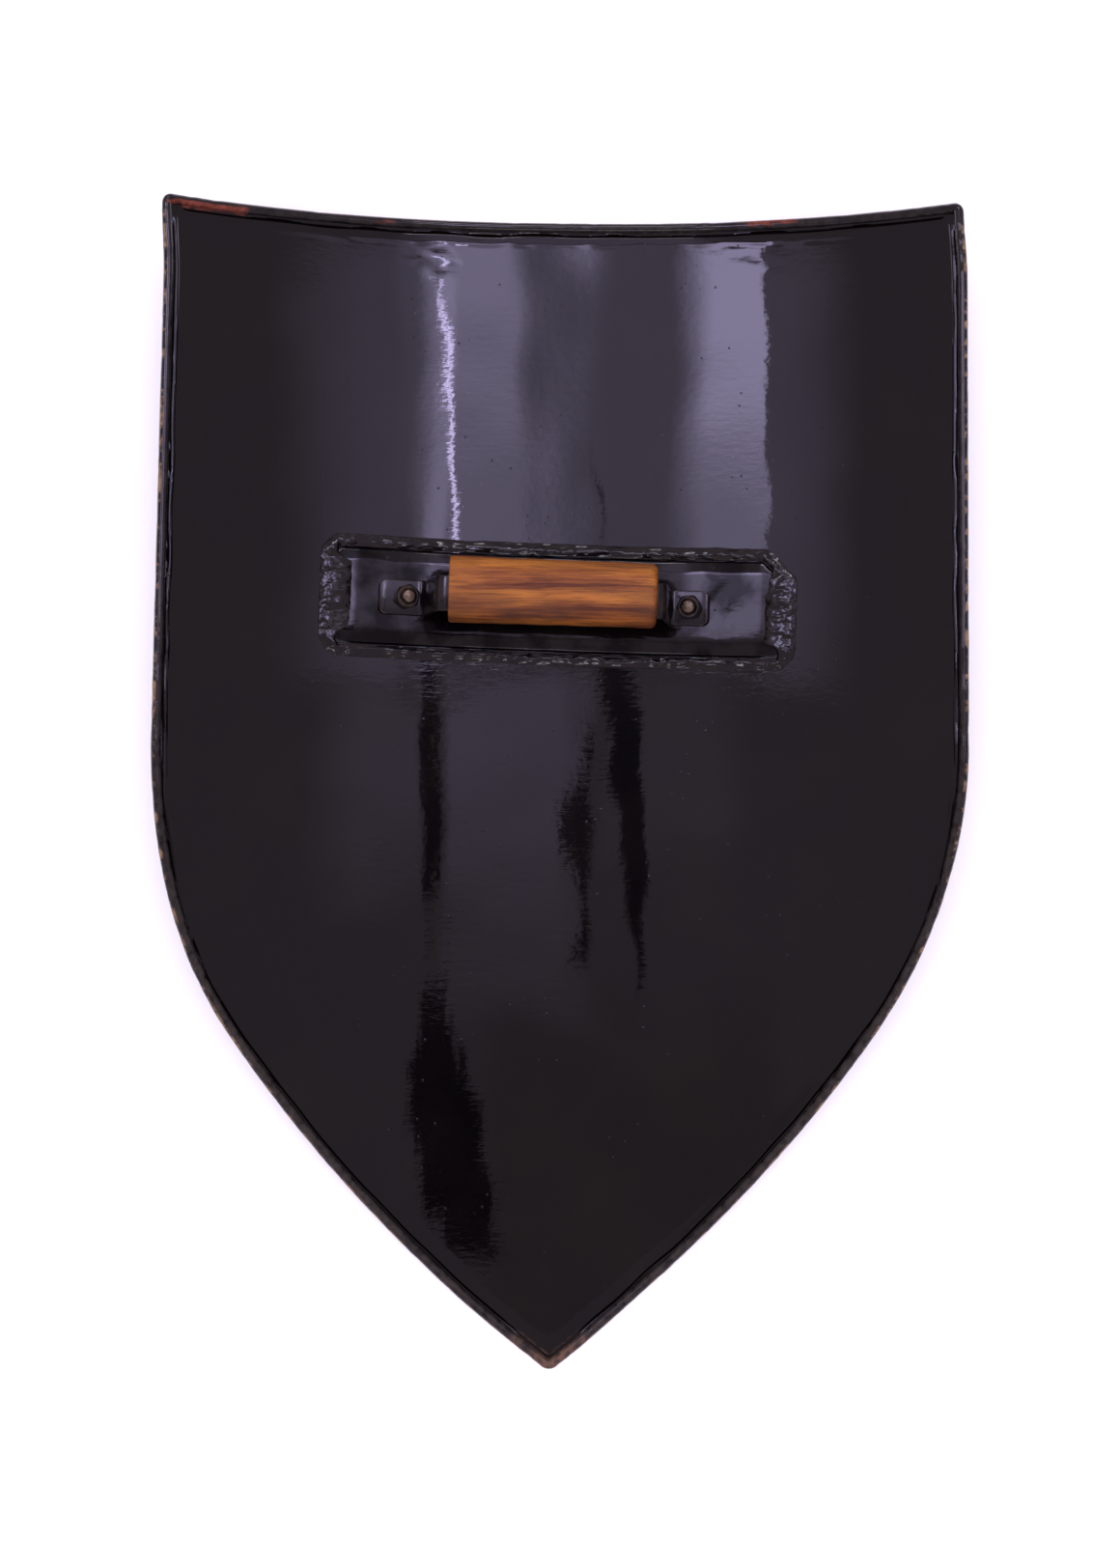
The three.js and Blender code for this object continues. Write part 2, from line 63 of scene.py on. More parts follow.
Array = np.ndarray
Colour = tuple[float, float, float, float]


# ---- Small tools ---------------------------------------------------------------------------------


def node_box(name: str) -> tuple[Array, Array]:
    """Gives a frame node's lowest and highest corners.

    Args:
        name: The frame node.

    Returns:
        The two corners in millimetres.
    """
    low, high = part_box(name)
    return np.array(low) / MM, np.array(high) / MM


def smooth_step(low: float, high: float, value: Array) -> Array:
    """Rises smoothly from 0 at low to 1 at high.

    Args:
        low: Where the rise starts.
        high: Where it ends.
        value: The values to map.

    Returns:
        The mapped values.
    """
    share = np.clip((value - low) / (high - low), 0.0, 1.0)
    return share * share * (3.0 - 2.0 * share)


def hump(value: Array, centre: float, half_width: float) -> Array:
    """Gives a smooth hump, 1 at the centre and 0 beyond its half width.

    Args:
        value: The values to map.
        centre: Where the hump peaks.
        half_width: How far it reaches.

    Returns:
        The mapped values.
    """
    share = np.clip(np.abs(value - centre) / half_width, 0.0, 1.0)
    return 0.5 + 0.5 * np.cos(math.pi * share)


@dataclass(frozen=True)
class SmoothField:
    """A smooth random field made of a few waves, the same on every run.

    Attributes:
        wavelength: Typical distance from crest to crest.
        seed: Which field it is.
        waves: How many waves are summed.
    """

    wavelength: float
    seed: int
    waves: int = 14

    def at(self, x: Array, y: Array) -> Array:
        """Samples the field.

        Args:
            x: First coordinates.
            y: Second coordinates, of the same shape.

        Returns:
            Values mostly between -1 and 1.
        """
        draw = np.random.default_rng(self.seed)
        total = np.zeros(np.broadcast(x, y).shape)
        for _ in range(self.waves):
            heading = draw.uniform(0, 2 * math.pi)
            pitch = 2 * math.pi / (self.wavelength * draw.uniform(0.7, 1.5))
            phase = draw.uniform(0, 2 * math.pi)
            total += np.cos(pitch * (x * math.cos(heading) + y * math.sin(heading)) + phase)
        return total / math.sqrt(self.waves)

    def along(self, x: Array) -> Array:
        """Samples the field along a line."""
        return self.at(x, np.zeros_like(x))


def paces(line: Array) -> Array:
    """Gives how far along a line each of its points is."""
    return np.concatenate([[0.0], np.cumsum(np.linalg.norm(np.diff(line, axis=0), axis=1))])


@dataclass
class Skin:
    """Vertices and faces of a piece while it is put together, in millimetres."""

    vertices: list[Array] = field(default_factory=list)
    faces: list[tuple[int, ...]] = field(default_factory=list)
    count: int = 0

    def add(self, points: Array) -> Array:
        """Adds points.

        Args:
            points: Points with their coordinates along the last axis.

        Returns:
            The new vertices' indices, in the shape of the points.
        """
        flat = points.reshape(-1, 3)
        self.vertices.append(flat)
        index = np.arange(self.count, self.count + len(flat)).reshape(points.shape[:-1])
        self.count += len(flat)
        return index

    def bridge(self, index: Array, closed: bool = False) -> None:
        """Adds a quad between each two rows and columns of vertices.

        Args:
            index: Vertex indices in rows and columns.
            closed: True if the last column joins the first.
        """
        rows = np.concatenate([index, index[:, :1]], axis=1) if closed else index
        quads = np.stack([rows[:-1, :-1], rows[:-1, 1:], rows[1:, 1:], rows[1:, :-1]], axis=-1)
        self.faces.extend(tuple(int(v) for v in quad) for quad in quads.reshape(-1, 4))

    def fan(self, ring: Sequence[int], middle: int, flip: bool = False) -> None:
        """Closes a ring of vertices with triangles.

        Args:
            ring: The ring's vertices in order.
            middle: The vertex in the ring's middle.
            flip: True to turn the triangles over.
        """
        for a, b in zip(ring, [*ring[1:], ring[0]]):
            self.faces.append((int(b), int(a), middle) if flip else (int(a), int(b), middle))

    def to_object(self, name: str, sharp_degrees: float = 35.0) -> Object:
        """Makes the mesh object, in metres, with merged doubles and outward faces.

        Args:
            name: The object's name.
            sharp_degrees: Edges sharper than this stay sharp in shading.

        Returns:
            The object, at the origin.
        """
        mesh = bpy.data.meshes.new(name)
        mesh.from_pydata((np.concatenate(self.vertices) * MM).tolist(), [], self.faces)
        return finished(mesh, name, sharp_degrees)


def placed(name: str, data: ID) -> Object:
    """Makes an object of a mesh, a lamp or a camera and links it to the scene.

    Args:
        name: The object's name.
        data: What it shows.

    Returns:
        The object, at the origin.
    """
    made = bpy.data.objects.new(name, data)
    bpy.context.scene.collection.objects.link(made)
    return made


def finished(mesh: Mesh, name: str, sharp_degrees: float) -> Object:
    """Turns a mesh's faces outward, shades it and links it as an object.

    Args:
        mesh: The mesh, in metres.
        name: The object's name.
        sharp_degrees: Edges sharper than this stay sharp in shading.

    Returns:
        The object, at the origin.
    """
    work = bmesh.new()
    work.from_mesh(mesh)
    bmesh.ops.remove_doubles(work, verts=work.verts, dist=MERGE * MM)
    bmesh.ops.dissolve_degenerate(work, edges=work.edges, dist=MERGE * MM)
    bmesh.ops.recalc_face_normals(work, faces=work.faces)
    work.to_mesh(mesh)
    work.free()
    mesh.shade_smooth()
    mesh.set_sharp_from_angle(angle=math.radians(sharp_degrees))
    return placed(name, mesh)


def wrapped(rings: Array, name: str, sharp_degrees: float, caps: Array | None = None) -> Object:
    """Makes a closed piece by wrapping a skin round rings of points.

    Args:
        rings: The rings' points, in rows.
        name: The object's name.
        sharp_degrees: Edges sharper than this stay sharp in shading.
        caps: The points that close the first and last ring, or None where those rings meet.

    Returns:
        The object, at the origin.
    """
    skin = Skin()
    index = skin.add(rings)
    skin.bridge(index, closed=True)
    if caps is not None:
        for ring, middle, flip in zip((index[0], index[-1]), skin.add(caps), (True, False)):
            skin.fan(list(ring), int(middle), flip)
    return skin.to_object(name, sharp_degrees)


def vertex_places(mesh: Mesh) -> Array:
    """Reads where a mesh's vertices are.

    Args:
        mesh: The mesh, in metres.

    Returns:
        Its vertices in millimetres, in rows.
    """
    places = np.zeros(len(mesh.vertices) * 3)
    mesh.vertices.foreach_get("co", places)
    return places.reshape(-1, 3) / MM


def store(mesh: Mesh, name: str, values: Array) -> None:
    """Stores a value for each vertex, which a finish can read by its name."""
    stored = mesh.attributes.new(name, "FLOAT", "POINT")
    stored.data.foreach_set("value", values.astype(np.float32))


def dress(piece: Object, material: Material, slot: str, *nodes: str) -> None:
    """Gives a piece its finish, puts it on the shield's body and lets it stand for its frame nodes.

    Args:
        piece: The finished piece.
        material: Its finish.
        slot: The record's material slot; not used.
        nodes: The frame nodes that it stands for.
    """
    piece.data.materials.clear()
    piece.data.materials.append(material)
    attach(piece, BODY)
    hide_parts(*nodes)
    piece.data.calc_loop_triangles()
    LOG.info("%s: %d triangles, stands for %s", piece.name, len(piece.data.loop_triangles), ", ".join(nodes))


def graded(length: float, fine: float, coarse: float, band: float, growth: float = 1.22) -> list[float]:
    """Places steps that are fine near the start and grow after a band.

    Args:
        length: The whole length.
        fine: Step in the band.
        coarse: Largest step.
        band: Length of the fine band.
        growth: How much each step grows past the band.

    Returns:
        Distances from 0 to the length.
    """
    places, step = [0.0], fine
    while places[-1] + step < length:
        places.append(places[-1] + step)
        if places[-1] > band:
            step = min(step * growth, coarse)
    if length - places[-1] > 0.4 * step:
        places.append(length)
    else:
        places[-1] = length
    return places


# ---- Node tools ----------------------------------------------------------------------------------


def linear(code: str) -> Colour:
    """Turns an sRGB hex colour into linear RGBA.

    Args:
        code: The colour as "#rrggbb".

    Returns:
        Linear red, green and blue with an alpha of one.
    """
    channels = [int(code[i : i + 2], 16) / 255 for i in (1, 3, 5)]
    red, green, blue = (c / 12.92 if c <= 0.04045 else ((c + 0.055) / 1.055) ** 2.4 for c in channels)
    return (red, green, blue, 1.0)


def per_metre(size: float) -> float:
    """Gives the texture scale that repeats once in each size, in millimetres, on Object coordinates."""
    return 1.0 / (size * MM)


def add_node(tree: NodeTree, kind: str, inputs: dict | None = None, **settings) -> Node:
    """Adds a node with its settings, values and links.

    Args:
        tree: The shader or geometry tree.
        kind: The node's type name.
        inputs: Socket name or index to a value, or to the output socket that feeds it.
        settings: Properties of the node itself.

    Returns:
        The new node.
    """
    node = tree.nodes.new(kind)
    for name, value in settings.items():
        setattr(node, name, value)
    for key, value in (inputs or {}).items():
        if isinstance(value, NodeSocket):
            tree.links.new(value, node.inputs[key])
        else:
            node.inputs[key].default_value = value
    return node


def new_material(name: str) -> tuple[Material, NodeTree]:
    """Makes an empty node material.

    Args:
        name: The finish's name.

    Returns:
        The material and its tree.
    """
    material = bpy.data.materials.new(name)
    material.use_nodes = True
    material.node_tree.nodes.clear()
    return material, material.node_tree


def noise(tree: NodeTree, place: NodeSocket, size: float, detail: float = 2.0,
          rough: float = 0.5) -> NodeSocket:
    """Adds a noise whose blotches have a real size.

    Args:
        tree: The material's tree.
        place: The coordinates.
        size: The blotches' size in millimetres.
        detail: How many finer layers they carry.
        rough: How strong the finer layers are.

    Returns:
        The noise, from 0 to 1.
    """
    wanted = {"Vector": place, "Scale": per_metre(size), "Detail": detail, "Roughness": rough}
    return add_node(tree, "ShaderNodeTexNoise", wanted).outputs[0]


def stretched(tree: NodeTree, place: NodeSocket, scale: Sequence[float],
              turn: Sequence[float] = (0.0, 0.0, 0.0)) -> NodeSocket:
    """Adds a mapping that stretches or turns a pattern.

    Args:
        tree: The material's tree.
        place: The coordinates.
        scale: Factors along the axes. A small one draws the pattern out.
        turn: Turn about the axes, in radians.

    Returns:
        The mapped coordinates.
    """
    wanted = {"Vector": place, "Scale": tuple(scale), "Rotation": tuple(turn)}
    return add_node(tree, "ShaderNodeMapping", wanted).outputs[0]


def ranged(tree: NodeTree, value: NodeSocket, low: float, high: float, to_low: float = 0.0,
           to_high: float = 1.0) -> NodeSocket:
    """Maps one range of a value onto another and holds it there.

    Args:
        tree: The material's tree.
        value: The value.
        low: Where the range starts.
        high: Where it ends.
        to_low: What the start becomes.
        to_high: What the end becomes.

    Returns:
        The mapped value.
    """
    wanted = {"Value": value, "From Min": low, "From Max": high, "To Min": to_low, "To Max": to_high}
    return add_node(tree, "ShaderNodeMapRange", wanted).outputs[0]


def maths(tree: NodeTree, operation: str, first: object, second: object = 0.0) -> NodeSocket:
    """Joins two values by a sum, a product or another operation.

    Args:
        tree: The material's tree.
        operation: The operation's name.
        first: A value or the socket that gives it.
        second: A value or the socket that gives it.

    Returns:
        The result.
    """
    return add_node(tree, "ShaderNodeMath", {0: first, 1: second}, operation=operation).outputs[0]


def product(tree: NodeTree, first: object, second: object) -> NodeSocket:
    """Multiplies two values."""
    return maths(tree, "MULTIPLY", first, second)


def blended(tree: NodeTree, share: NodeSocket, first: NodeSocket | str,
            second: NodeSocket | str) -> NodeSocket:
    """Mixes two colours.

    Args:
        tree: The material's tree.
        share: 0 gives the first and 1 the second.
        first: A colour as "#rrggbb" or the socket that gives it.
        second: A colour as "#rrggbb" or the socket that gives it.

    Returns:
        The mixed colour.
    """
    first, second = (linear(paint) if isinstance(paint, str) else paint for paint in (first, second))
    return add_node(tree, "ShaderNodeMix", {0: share, 6: first, 7: second}, data_type="RGBA").outputs[2]


def bumped(tree: NodeTree, height: NodeSocket, depth: float,
           below: NodeSocket | None = None) -> NodeSocket:
    """Adds a bump of a real depth.

    Args:
        tree: The material's tree.
        height: The height, from 0 to 1.
        depth: What 1 stands for, in millimetres.
        below: The normal of a bump that this one lies on.

    Returns:
        The bumped normal.
    """
    wanted = {"Height": height, "Distance": depth * MM, "Strength": 1.0}
    if below is not None:
        wanted["Normal"] = below
    return add_node(tree, "ShaderNodeBump", wanted).outputs[0]


def surfaced(material: Material, tree: NodeTree, values: dict) -> Material:
    """Ends a material in a Principled shader.

    Args:
        material: The material.
        tree: Its tree.
        values: The shader's sockets and what they get.

    Returns:
        The finished material.
    """
    shader = add_node(tree, "ShaderNodeBsdfPrincipled", values)
    add_node(tree, "ShaderNodeOutputMaterial", {"Surface": shader.outputs[0]})
    return material


def frozen(base: Object, tree: NodeTree) -> Object:
    """Runs a Geometry Nodes tree on an object and keeps the result as its plain mesh.

    Args:
        base: The object that the tree works on.
        tree: The tree, with its sizes as the inputs' defaults.

    Returns:
        The same object, with the made mesh and no modifiers.
    """
    modifier = base.modifiers.new(tree.name, "NODES")
    modifier.node_group = tree
    for item in tree.interface.items_tree:
        if item.in_out == "INPUT" and item.socket_type != "NodeSocketGeometry":
            modifier[item.identifier] = item.default_value
    view = bpy.context.evaluated_depsgraph_get()
    view.update()
    made = bpy.data.meshes.new_from_object(base.evaluated_get(view), depsgraph=view)
    base.modifiers.clear()
    old = base.data
    base.data = made
    made.name = base.name
    bpy.data.meshes.remove(old)
    return base


# ---- The bent sheet ------------------------------------------------------------------------------


@dataclass(frozen=True)
class SheetBend:
    """The bend of the sheet about the shield's long axis, with a narrow flat strip in the middle."""

    front_radius: float = 345.0
    flat_half: float = 16.0
    roll_radius: float = 2.8

    def place(self, across: Array, along: Array, height: Array) -> Array:
        """Bends points of the flat blank.

        Args:
            across: Distance from the middle line, measured on the blank.
            along: Distance along the shield.
            height: Height above the front face.

        Returns:
            Points in space.
        """
        across, along, height = np.broadcast_arrays(across, along, height)
        past = np.maximum(np.abs(across) - self.flat_half, 0.0)
        angle = past / (self.front_radius - self.roll_radius)
        radius = self.front_radius - height
        x = np.sign(across) * (np.minimum(np.abs(across), self.flat_half) + radius * np.sin(angle))
        return np.stack([x, along, self.front_radius - radius * np.cos(angle)], axis=-1)


@dataclass(frozen=True)
class HeaterOutline:
    """Outline of the flat blank at the outside of the rim: a straight top, two arcs a side and a point."""

    top_y: float
    top_half: float = 237.4
    side_half: float = 241.3
    shoulder_y: float = 26.4
    shoulder_radius: float = 275.0
    shoulder_turn: float = math.radians(36.0)
    flank_radius: float = 988.0
    corner_radius: float = 5.5
    corner_band: float = 20.0
    tip_radius: float = 7.0
    tip_band: float = 34.0

    @property
    def shoulder_centre(self) -> Array:
        """Centre of the tighter upper curve."""
        return np.array([self.side_half - self.shoulder_radius, self.shoulder_y])

    @property
    def flank_centre(self) -> Array:
        """Centre of the long flatter curve down to the point."""
        outward = np.array([math.cos(self.shoulder_turn), -math.sin(self.shoulder_turn)])
        return self.shoulder_centre + outward * (self.shoulder_radius - self.flank_radius)

    @property
    def side_inward(self) -> Array:
        """Unit normal of the straight right side, pointing in."""
        run = np.array([self.side_half - self.top_half, self.shoulder_y - self.top_y])
        inward = np.array([run[1], -run[0]])
        return inward / np.linalg.norm(inward)

    @property
    def tip_centre(self) -> Array:
        """Centre of the small arc at the point."""
        centre = self.flank_centre
        drop = math.sqrt((self.flank_radius - self.tip_radius) ** 2 - centre[0] ** 2)
        return np.array([0.0, centre[1] - drop])

    @property
    def tip_angle(self) -> float:
        """How far the right flank has turned where the arc at the point starts."""
        centre = self.flank_centre
        return math.atan2(centre[1] - self.tip_centre[1], -centre[0])

    @property
    def corner_centre(self) -> Array:
        """Centre of the small arc at the top right corner."""
        inward = self.side_inward
        mitre = (np.array([0.0, -1.0]) + inward) / (1.0 - inward[1])
        return np.array([self.top_half, self.top_y]) + mitre * self.corner_radius

    def right_side_distance(self, across: Array, along: Array) -> Array:
        """Measures how far points lie inside the right-hand edge.

        Args:
            across: Distance from the middle line.
            along: Distance along the shield.

        Returns:
            Distances, positive inside.
        """
        inward = self.side_inward
        side = (across - self.side_half) * inward[0] + (along - self.shoulder_y) * inward[1]
        centre = self.shoulder_centre
        shoulder = self.shoulder_radius - np.hypot(across - centre[0], along - centre[1])
        centre = self.flank_centre
        flank = self.flank_radius - np.hypot(across - centre[0], along - centre[1])
        turned = np.arctan2(centre[1] - along, across - centre[0])
        lower = np.where(turned < self.shoulder_turn, shoulder, flank)
        return np.where(along > self.shoulder_y, side, lower)

    def edge_distance(self, across: Array, along: Array, easing: float = 3.0) -> Array:
        """Measures the distance to the nearest edge, eased where two edges are equally near.

        Args:
            across: Distance from the middle line.
            along: Distance along the shield.
            easing: How far from a mitre line the easing reaches.

        Returns:
            Distances, positive inside.
        """
        edges = [
            self.right_side_distance(across, along),
            self.right_side_distance(-across, along),
            self.top_y - along,
        ]
        near = np.minimum(np.minimum(edges[0], edges[1]), edges[2])
        weight = sum(np.exp(np.clip((near - edge) / easing, -40.0, 0.0)) for edge in edges)
        return near - easing * np.log(weight)

    def arc(self, centre: Array, radius: float, angles: Sequence[float]) -> list[tuple[Array, Array]]:
        """Places stations on an arc, with angles measured clockwise from +X.

        Args:
            centre: The arc's centre.
            radius: Its radius.
            angles: Where the stations are.

        Returns:
            Each station's point and inward normal.
        """
        outward = [np.array([math.cos(a), -math.sin(a)]) for a in angles]
        return [(centre + radius * way, -way) for way in outward]

    def top_stations(self, fine: float, coarse: float) -> list[tuple[Array, Array]]:
        """Places stations along the top, from the middle of the left corner to that of the right one.

        Args:
            fine: Step near the corners.
            coarse: Step in the middle.

        Returns:
            Each station's point and inward normal.
        """
        corner = self.arc(self.corner_centre, self.corner_radius, np.radians([-45.0, -60.0, -75.0, -90.0]))
        half_edge = float(self.corner_centre[0])
        steps = graded(half_edge, fine, coarse, self.corner_band)[1:]
        down = np.array([0.0, -1.0])
        straight = [(np.array([half_edge - s, self.top_y]), down) for s in steps]
        right = (corner + straight)[::-1]
        left = [mirrored(station) for station in right[1:]][::-1]
        return left + right

    def right_stations(self, fine: float, coarse: float) -> list[tuple[Array, Array]]:
        """Places stations down the right side, from the middle of the corner to the point.

        Args:
            fine: Step near the corner and the point.
            coarse: Step between them.

        Returns:
            Each station's point and inward normal, with the point itself last.
        """
        inward = self.side_inward
        corner_end = math.atan2(inward[1], -inward[0])
        corner = self.arc(
            self.corner_centre, self.corner_radius, np.linspace(-math.pi / 4, corner_end, 4)[1:]
        )
        start, end = corner[-1][0], np.array([self.side_half, self.shoulder_y])
        length = float(np.linalg.norm(end - start))
        steps = graded(length, fine, coarse, self.corner_band)[1:]
        side = [(start + (end - start) * s / length, inward) for s in steps]
        shoulder_steps = round(self.shoulder_radius * self.shoulder_turn / coarse)
        shoulder = self.arc(
            self.shoulder_centre,
            self.shoulder_radius,
            np.linspace(0, self.shoulder_turn, shoulder_steps + 1)[1:],
        )
        sweep = self.tip_angle - self.shoulder_turn
        upward = graded(self.flank_radius * sweep, 2 * fine, coarse, self.tip_band)
        flank_angles = [self.tip_angle - s / self.flank_radius for s in reversed(upward[:-1])]
        flank = self.arc(self.flank_centre, self.flank_radius, flank_angles)
        tip = self.arc(self.tip_centre, self.tip_radius, np.linspace(self.tip_angle, math.pi / 2, 6)[1:])
        return corner + side + shoulder + flank + tip


def mirrored(station: tuple[Array, Array]) -> tuple[Array, Array]:
    """Mirrors a station of the outline to the left side.

    Args:
        station: The station's point and inward normal.

    Returns:
        The mirrored point and normal.
    """
    flip = np.array([-1.0, 1.0])
    return station[0] * flip, station[1] * flip


@dataclass(frozen=True)
class RimPatch:
    """A stretch of the top rim where the red primer shows through the black."""

    start: float
    end: float
    slant: float
    near: float
    far: float


@dataclass
class EnamelledShell:
    """The bent sheet with its rolled rim, as one closed mesh with its dents, ridge and brush-worn places."""

    bend: SheetBend
    outline: HeaterOutline
    sheet: float = 1.5
    lip_angle: float = math.radians(15.0)
    outer_steps: int = 18
    inner_steps: int = 10
    fine: float = 0.85
    coarse: float = 4.6
    groove_at: float = 6.4
    groove_half: float = 1.5
    groove_depth: float = 1.05
    ridge_at: float = 8.8
    ridge_half: float = 1.6
    ridge_height: float = 0.75
    flange: float = 11.0
    flange_swell: float = 0.42
    hollow_depth: float = 0.3
    wave_heights: tuple[float, float] = (0.16, 0.05)
    crease_heights: tuple[float, float] = (0.055, 0.05)
    lump_heights: tuple[float, float] = (0.12, 0.07)
    lift: float = 0.5
    sway_steps: tuple[float, float, float] = (2.4, -4.4, 2.0)
    patches: tuple[RimPatch, ...] = (
        RimPatch(-234.0, -184.0, 1.4, 3.0, 5.9),
        RimPatch(-106.5, -100.0, 0.3, 2.3, 4.4),
        RimPatch(108.0, 136.0, 0.5, 0.4, 3.0),
    )

    def sway(self, along: Array) -> Array:
        """Gives how far the hand-cut outline wanders to the right of the true one.

        Args:
            along: Distance along the shield.

        Returns:
            Distances across.
        """
        upper, lower, tip = self.sway_steps
        shift = upper * smooth_step(self.outline.top_y, self.outline.top_y - 45.0, along)
        return shift + lower * smooth_step(20.0, -140.0, along) + tip * smooth_step(-285.0, -329.0, along)

    def relief(self, across: Array, along: Array) -> Array:
        """Gives how far the sheet lies above its true bend: waves, two creases, lumps and the flange's swell.

        Args:
            across: Distance from the middle line.
            along: Distance along the shield.

        Returns:
            Heights.
        """
        inside = self.outline.edge_distance(across, along)
        long_waves, short_waves = self.wave_heights
        waves = long_waves * SmoothField(150.0, 3).at(across, along)
        waves = waves + short_waves * SmoothField(52.0, 8).at(across, along)
        crease_line = across + 70.0 + 5.0 * np.sin((along + 60.0) / 95.0)
        crease = self.crease_heights[0] * np.exp(-((crease_line / 5.0) ** 2))
        second = across - 66.0 - 4.0 * np.sin((along - 30.0) / 120.0)
        crease = crease + self.crease_heights[1] * np.exp(-((second / 9.0) ** 2))
        top = self.outline.top_y - along
        lumpy = self.lump_heights[0] * SmoothField(13.0, 21).at(across, along) * hump(top, 24.0, 18.0)
        lumpy = lumpy + self.lump_heights[1] * SmoothField(6.5, 22).at(across, along) * hump(top, 22.0, 15.0)
        drip = hump(across, -72.0, 26.0) + 0.3 * hump(across, 104.0, 34.0)
        ragged = 0.8 * SmoothField(15.0, 23).at(across, along) + 0.4 * SmoothField(6.0, 24).at(across, along)
        swell = self.flange_swell * hump(top + ragged, self.flange, 3.8)
        swell = swell * smooth_step(215.0, 150.0, np.abs(across))
        return (waves + crease + lumpy * drip + swell + self.lift) * smooth_step(5.0, 16.0, inside)

    def rim_relief(self, across: Array, along: Array) -> Array:
        """Gives the groove beside the roll, the ridge beside the groove and the hollow along the middle.

        Args:
            across: Distance from the middle line.
            along: Distance along the shield.

        Returns:
            Heights above the sheet's upper face.
        """
        inside = self.outline.edge_distance(across, along, 1.2)
        uneven = 1.0 + 0.25 * SmoothField(30.0, 5).at(across, along)
        wander = 0.35 * SmoothField(46.0, 6).at(across, along)
        groove = -self.groove_depth * hump(inside + wander, self.groove_at, self.groove_half)
        ridge = self.ridge_height * uneven * hump(inside + wander, self.ridge_at, self.ridge_half)
        top, tip = self.outline.top_y - along, along + self.outline.top_y
        corner = np.hypot(np.abs(across) - self.outline.top_half + 6.0, top - 6.0)
        groove = groove * smooth_step(4.0, 13.0, corner) * smooth_step(16.0, 30.0, tip)
        sides_only = smooth_step(7.0, 15.0, top) * smooth_step(-90.0, 50.0, along)
        middle = -self.hollow_depth * np.exp(-((across / 20.0) ** 2)) * smooth_step(12.0, 40.0, inside)
        return groove + ridge * (0.04 + 0.96 * sides_only) + middle

    def roll_profile(self) -> list[tuple[float, float]]:
        """Gives the roll's section, from straight below it round to the lip and back along its inside.

        Returns:
            Distances in from the edge and heights above the front face.
        """
        sweep = 1.5 * math.pi + self.lip_angle
        radius = self.bend.roll_radius

        def side(reach: float, steps: int) -> list[tuple[float, float]]:
            """Places points round the roll.

            Args:
                reach: Radius of the side.
                steps: How many steps it takes.

            Returns:
                The side's points.
            """
            angles = [-math.pi / 2 - sweep * i / steps for i in range(steps + 1)]
            return [(radius + reach * math.cos(a), radius + reach * math.sin(a)) for a in angles]

        return side(radius, self.outer_steps) + side(radius - self.sheet, self.inner_steps)[::-1]

    def build(self) -> Object:
        """Makes the shell's mesh, with attributes for the roll, its worn edge and the primer patches.

        Returns:
            The shell, at the origin.
        """
        radius = self.bend.roll_radius
        top = self.outline.top_stations(self.fine, self.coarse)
        right = self.outline.right_stations(self.fine, self.coarse)
        loop = top + right + [mirrored(station) for station in right[:-1]][::-1]
        inner = np.array([point + inward * radius for point, inward in loop])
        columns, rows = len(top), len(right)

        shares = inner[:columns, 0] / inner[columns - 1, 0]
        right_edge = np.vstack([inner[columns - 1 : columns], inner[columns : columns + rows]])
        body = right_edge[:-1]
        across = body[:, :1] * shares[None, :]
        along = np.repeat(body[:, 1:2], columns, axis=1)
        rise = inner[:columns, 1] - body[0, 1]
        fade = np.clip(1.0 - (body[0, 1] - body[:, 1]) / 8.0, 0.0, 1.0)
        along = along + fade[:, None] * rise[None, :]

        skin = Skin()
        tip = right_edge[-1]
        sides = []
        for height, rim in ((0.0, False), (self.sheet, True)):
            lift = self.relief(across, along) + (self.rim_relief(across, along) if rim else 0.0)
            grid = skin.add(self.bend.place(across + self.sway(along), along, height + lift))
            point = skin.add(self.bend.place(tip[:1] + self.sway(tip[1:]), tip[1:], np.array([height])))
            skin.bridge(grid)
            last = [int(v) for v in grid[-1]]
            skin.faces.extend((a, b, int(point[0])) for a, b in zip(last, last[1:]))
            left = grid[1:, 0][::-1]
            sides.append(np.concatenate([grid[0], grid[1:, -1], point, left]))

        profile = self.roll_profile()
        pace = paces(inner)
        bumpy = 1.0 + 0.05 * SmoothField(21.0, 11).along(pace) + 0.03 * SmoothField(6.0, 12).along(pace)
        points = np.array([point for point, _ in loop])
        inwards = np.array([inward for _, inward in loop])
        rings = [sides[0]]
        for k, (distance, height) in enumerate(profile[1:-1], start=1):
            full = smooth_step(0.0, 3.0, min(k, len(profile) - 1 - k))
            swell = 1.0 + (bumpy - 1.0) * full
            reach = radius + (distance - radius) * np.minimum(swell, 1.0)
            level = radius + (height - radius) * swell
            spots = points + inwards * reach[:, None]
            rings.append(skin.add(self.bend.place(spots[:, 0] + self.sway(spots[:, 1]), spots[:, 1], level)))
        rings.append(sides[1])
        skin.bridge(np.array(rings), closed=True)

        shell = skin.to_object("shell_enamelled", 50.0)
        self.paint_masks(shell)
        return shell

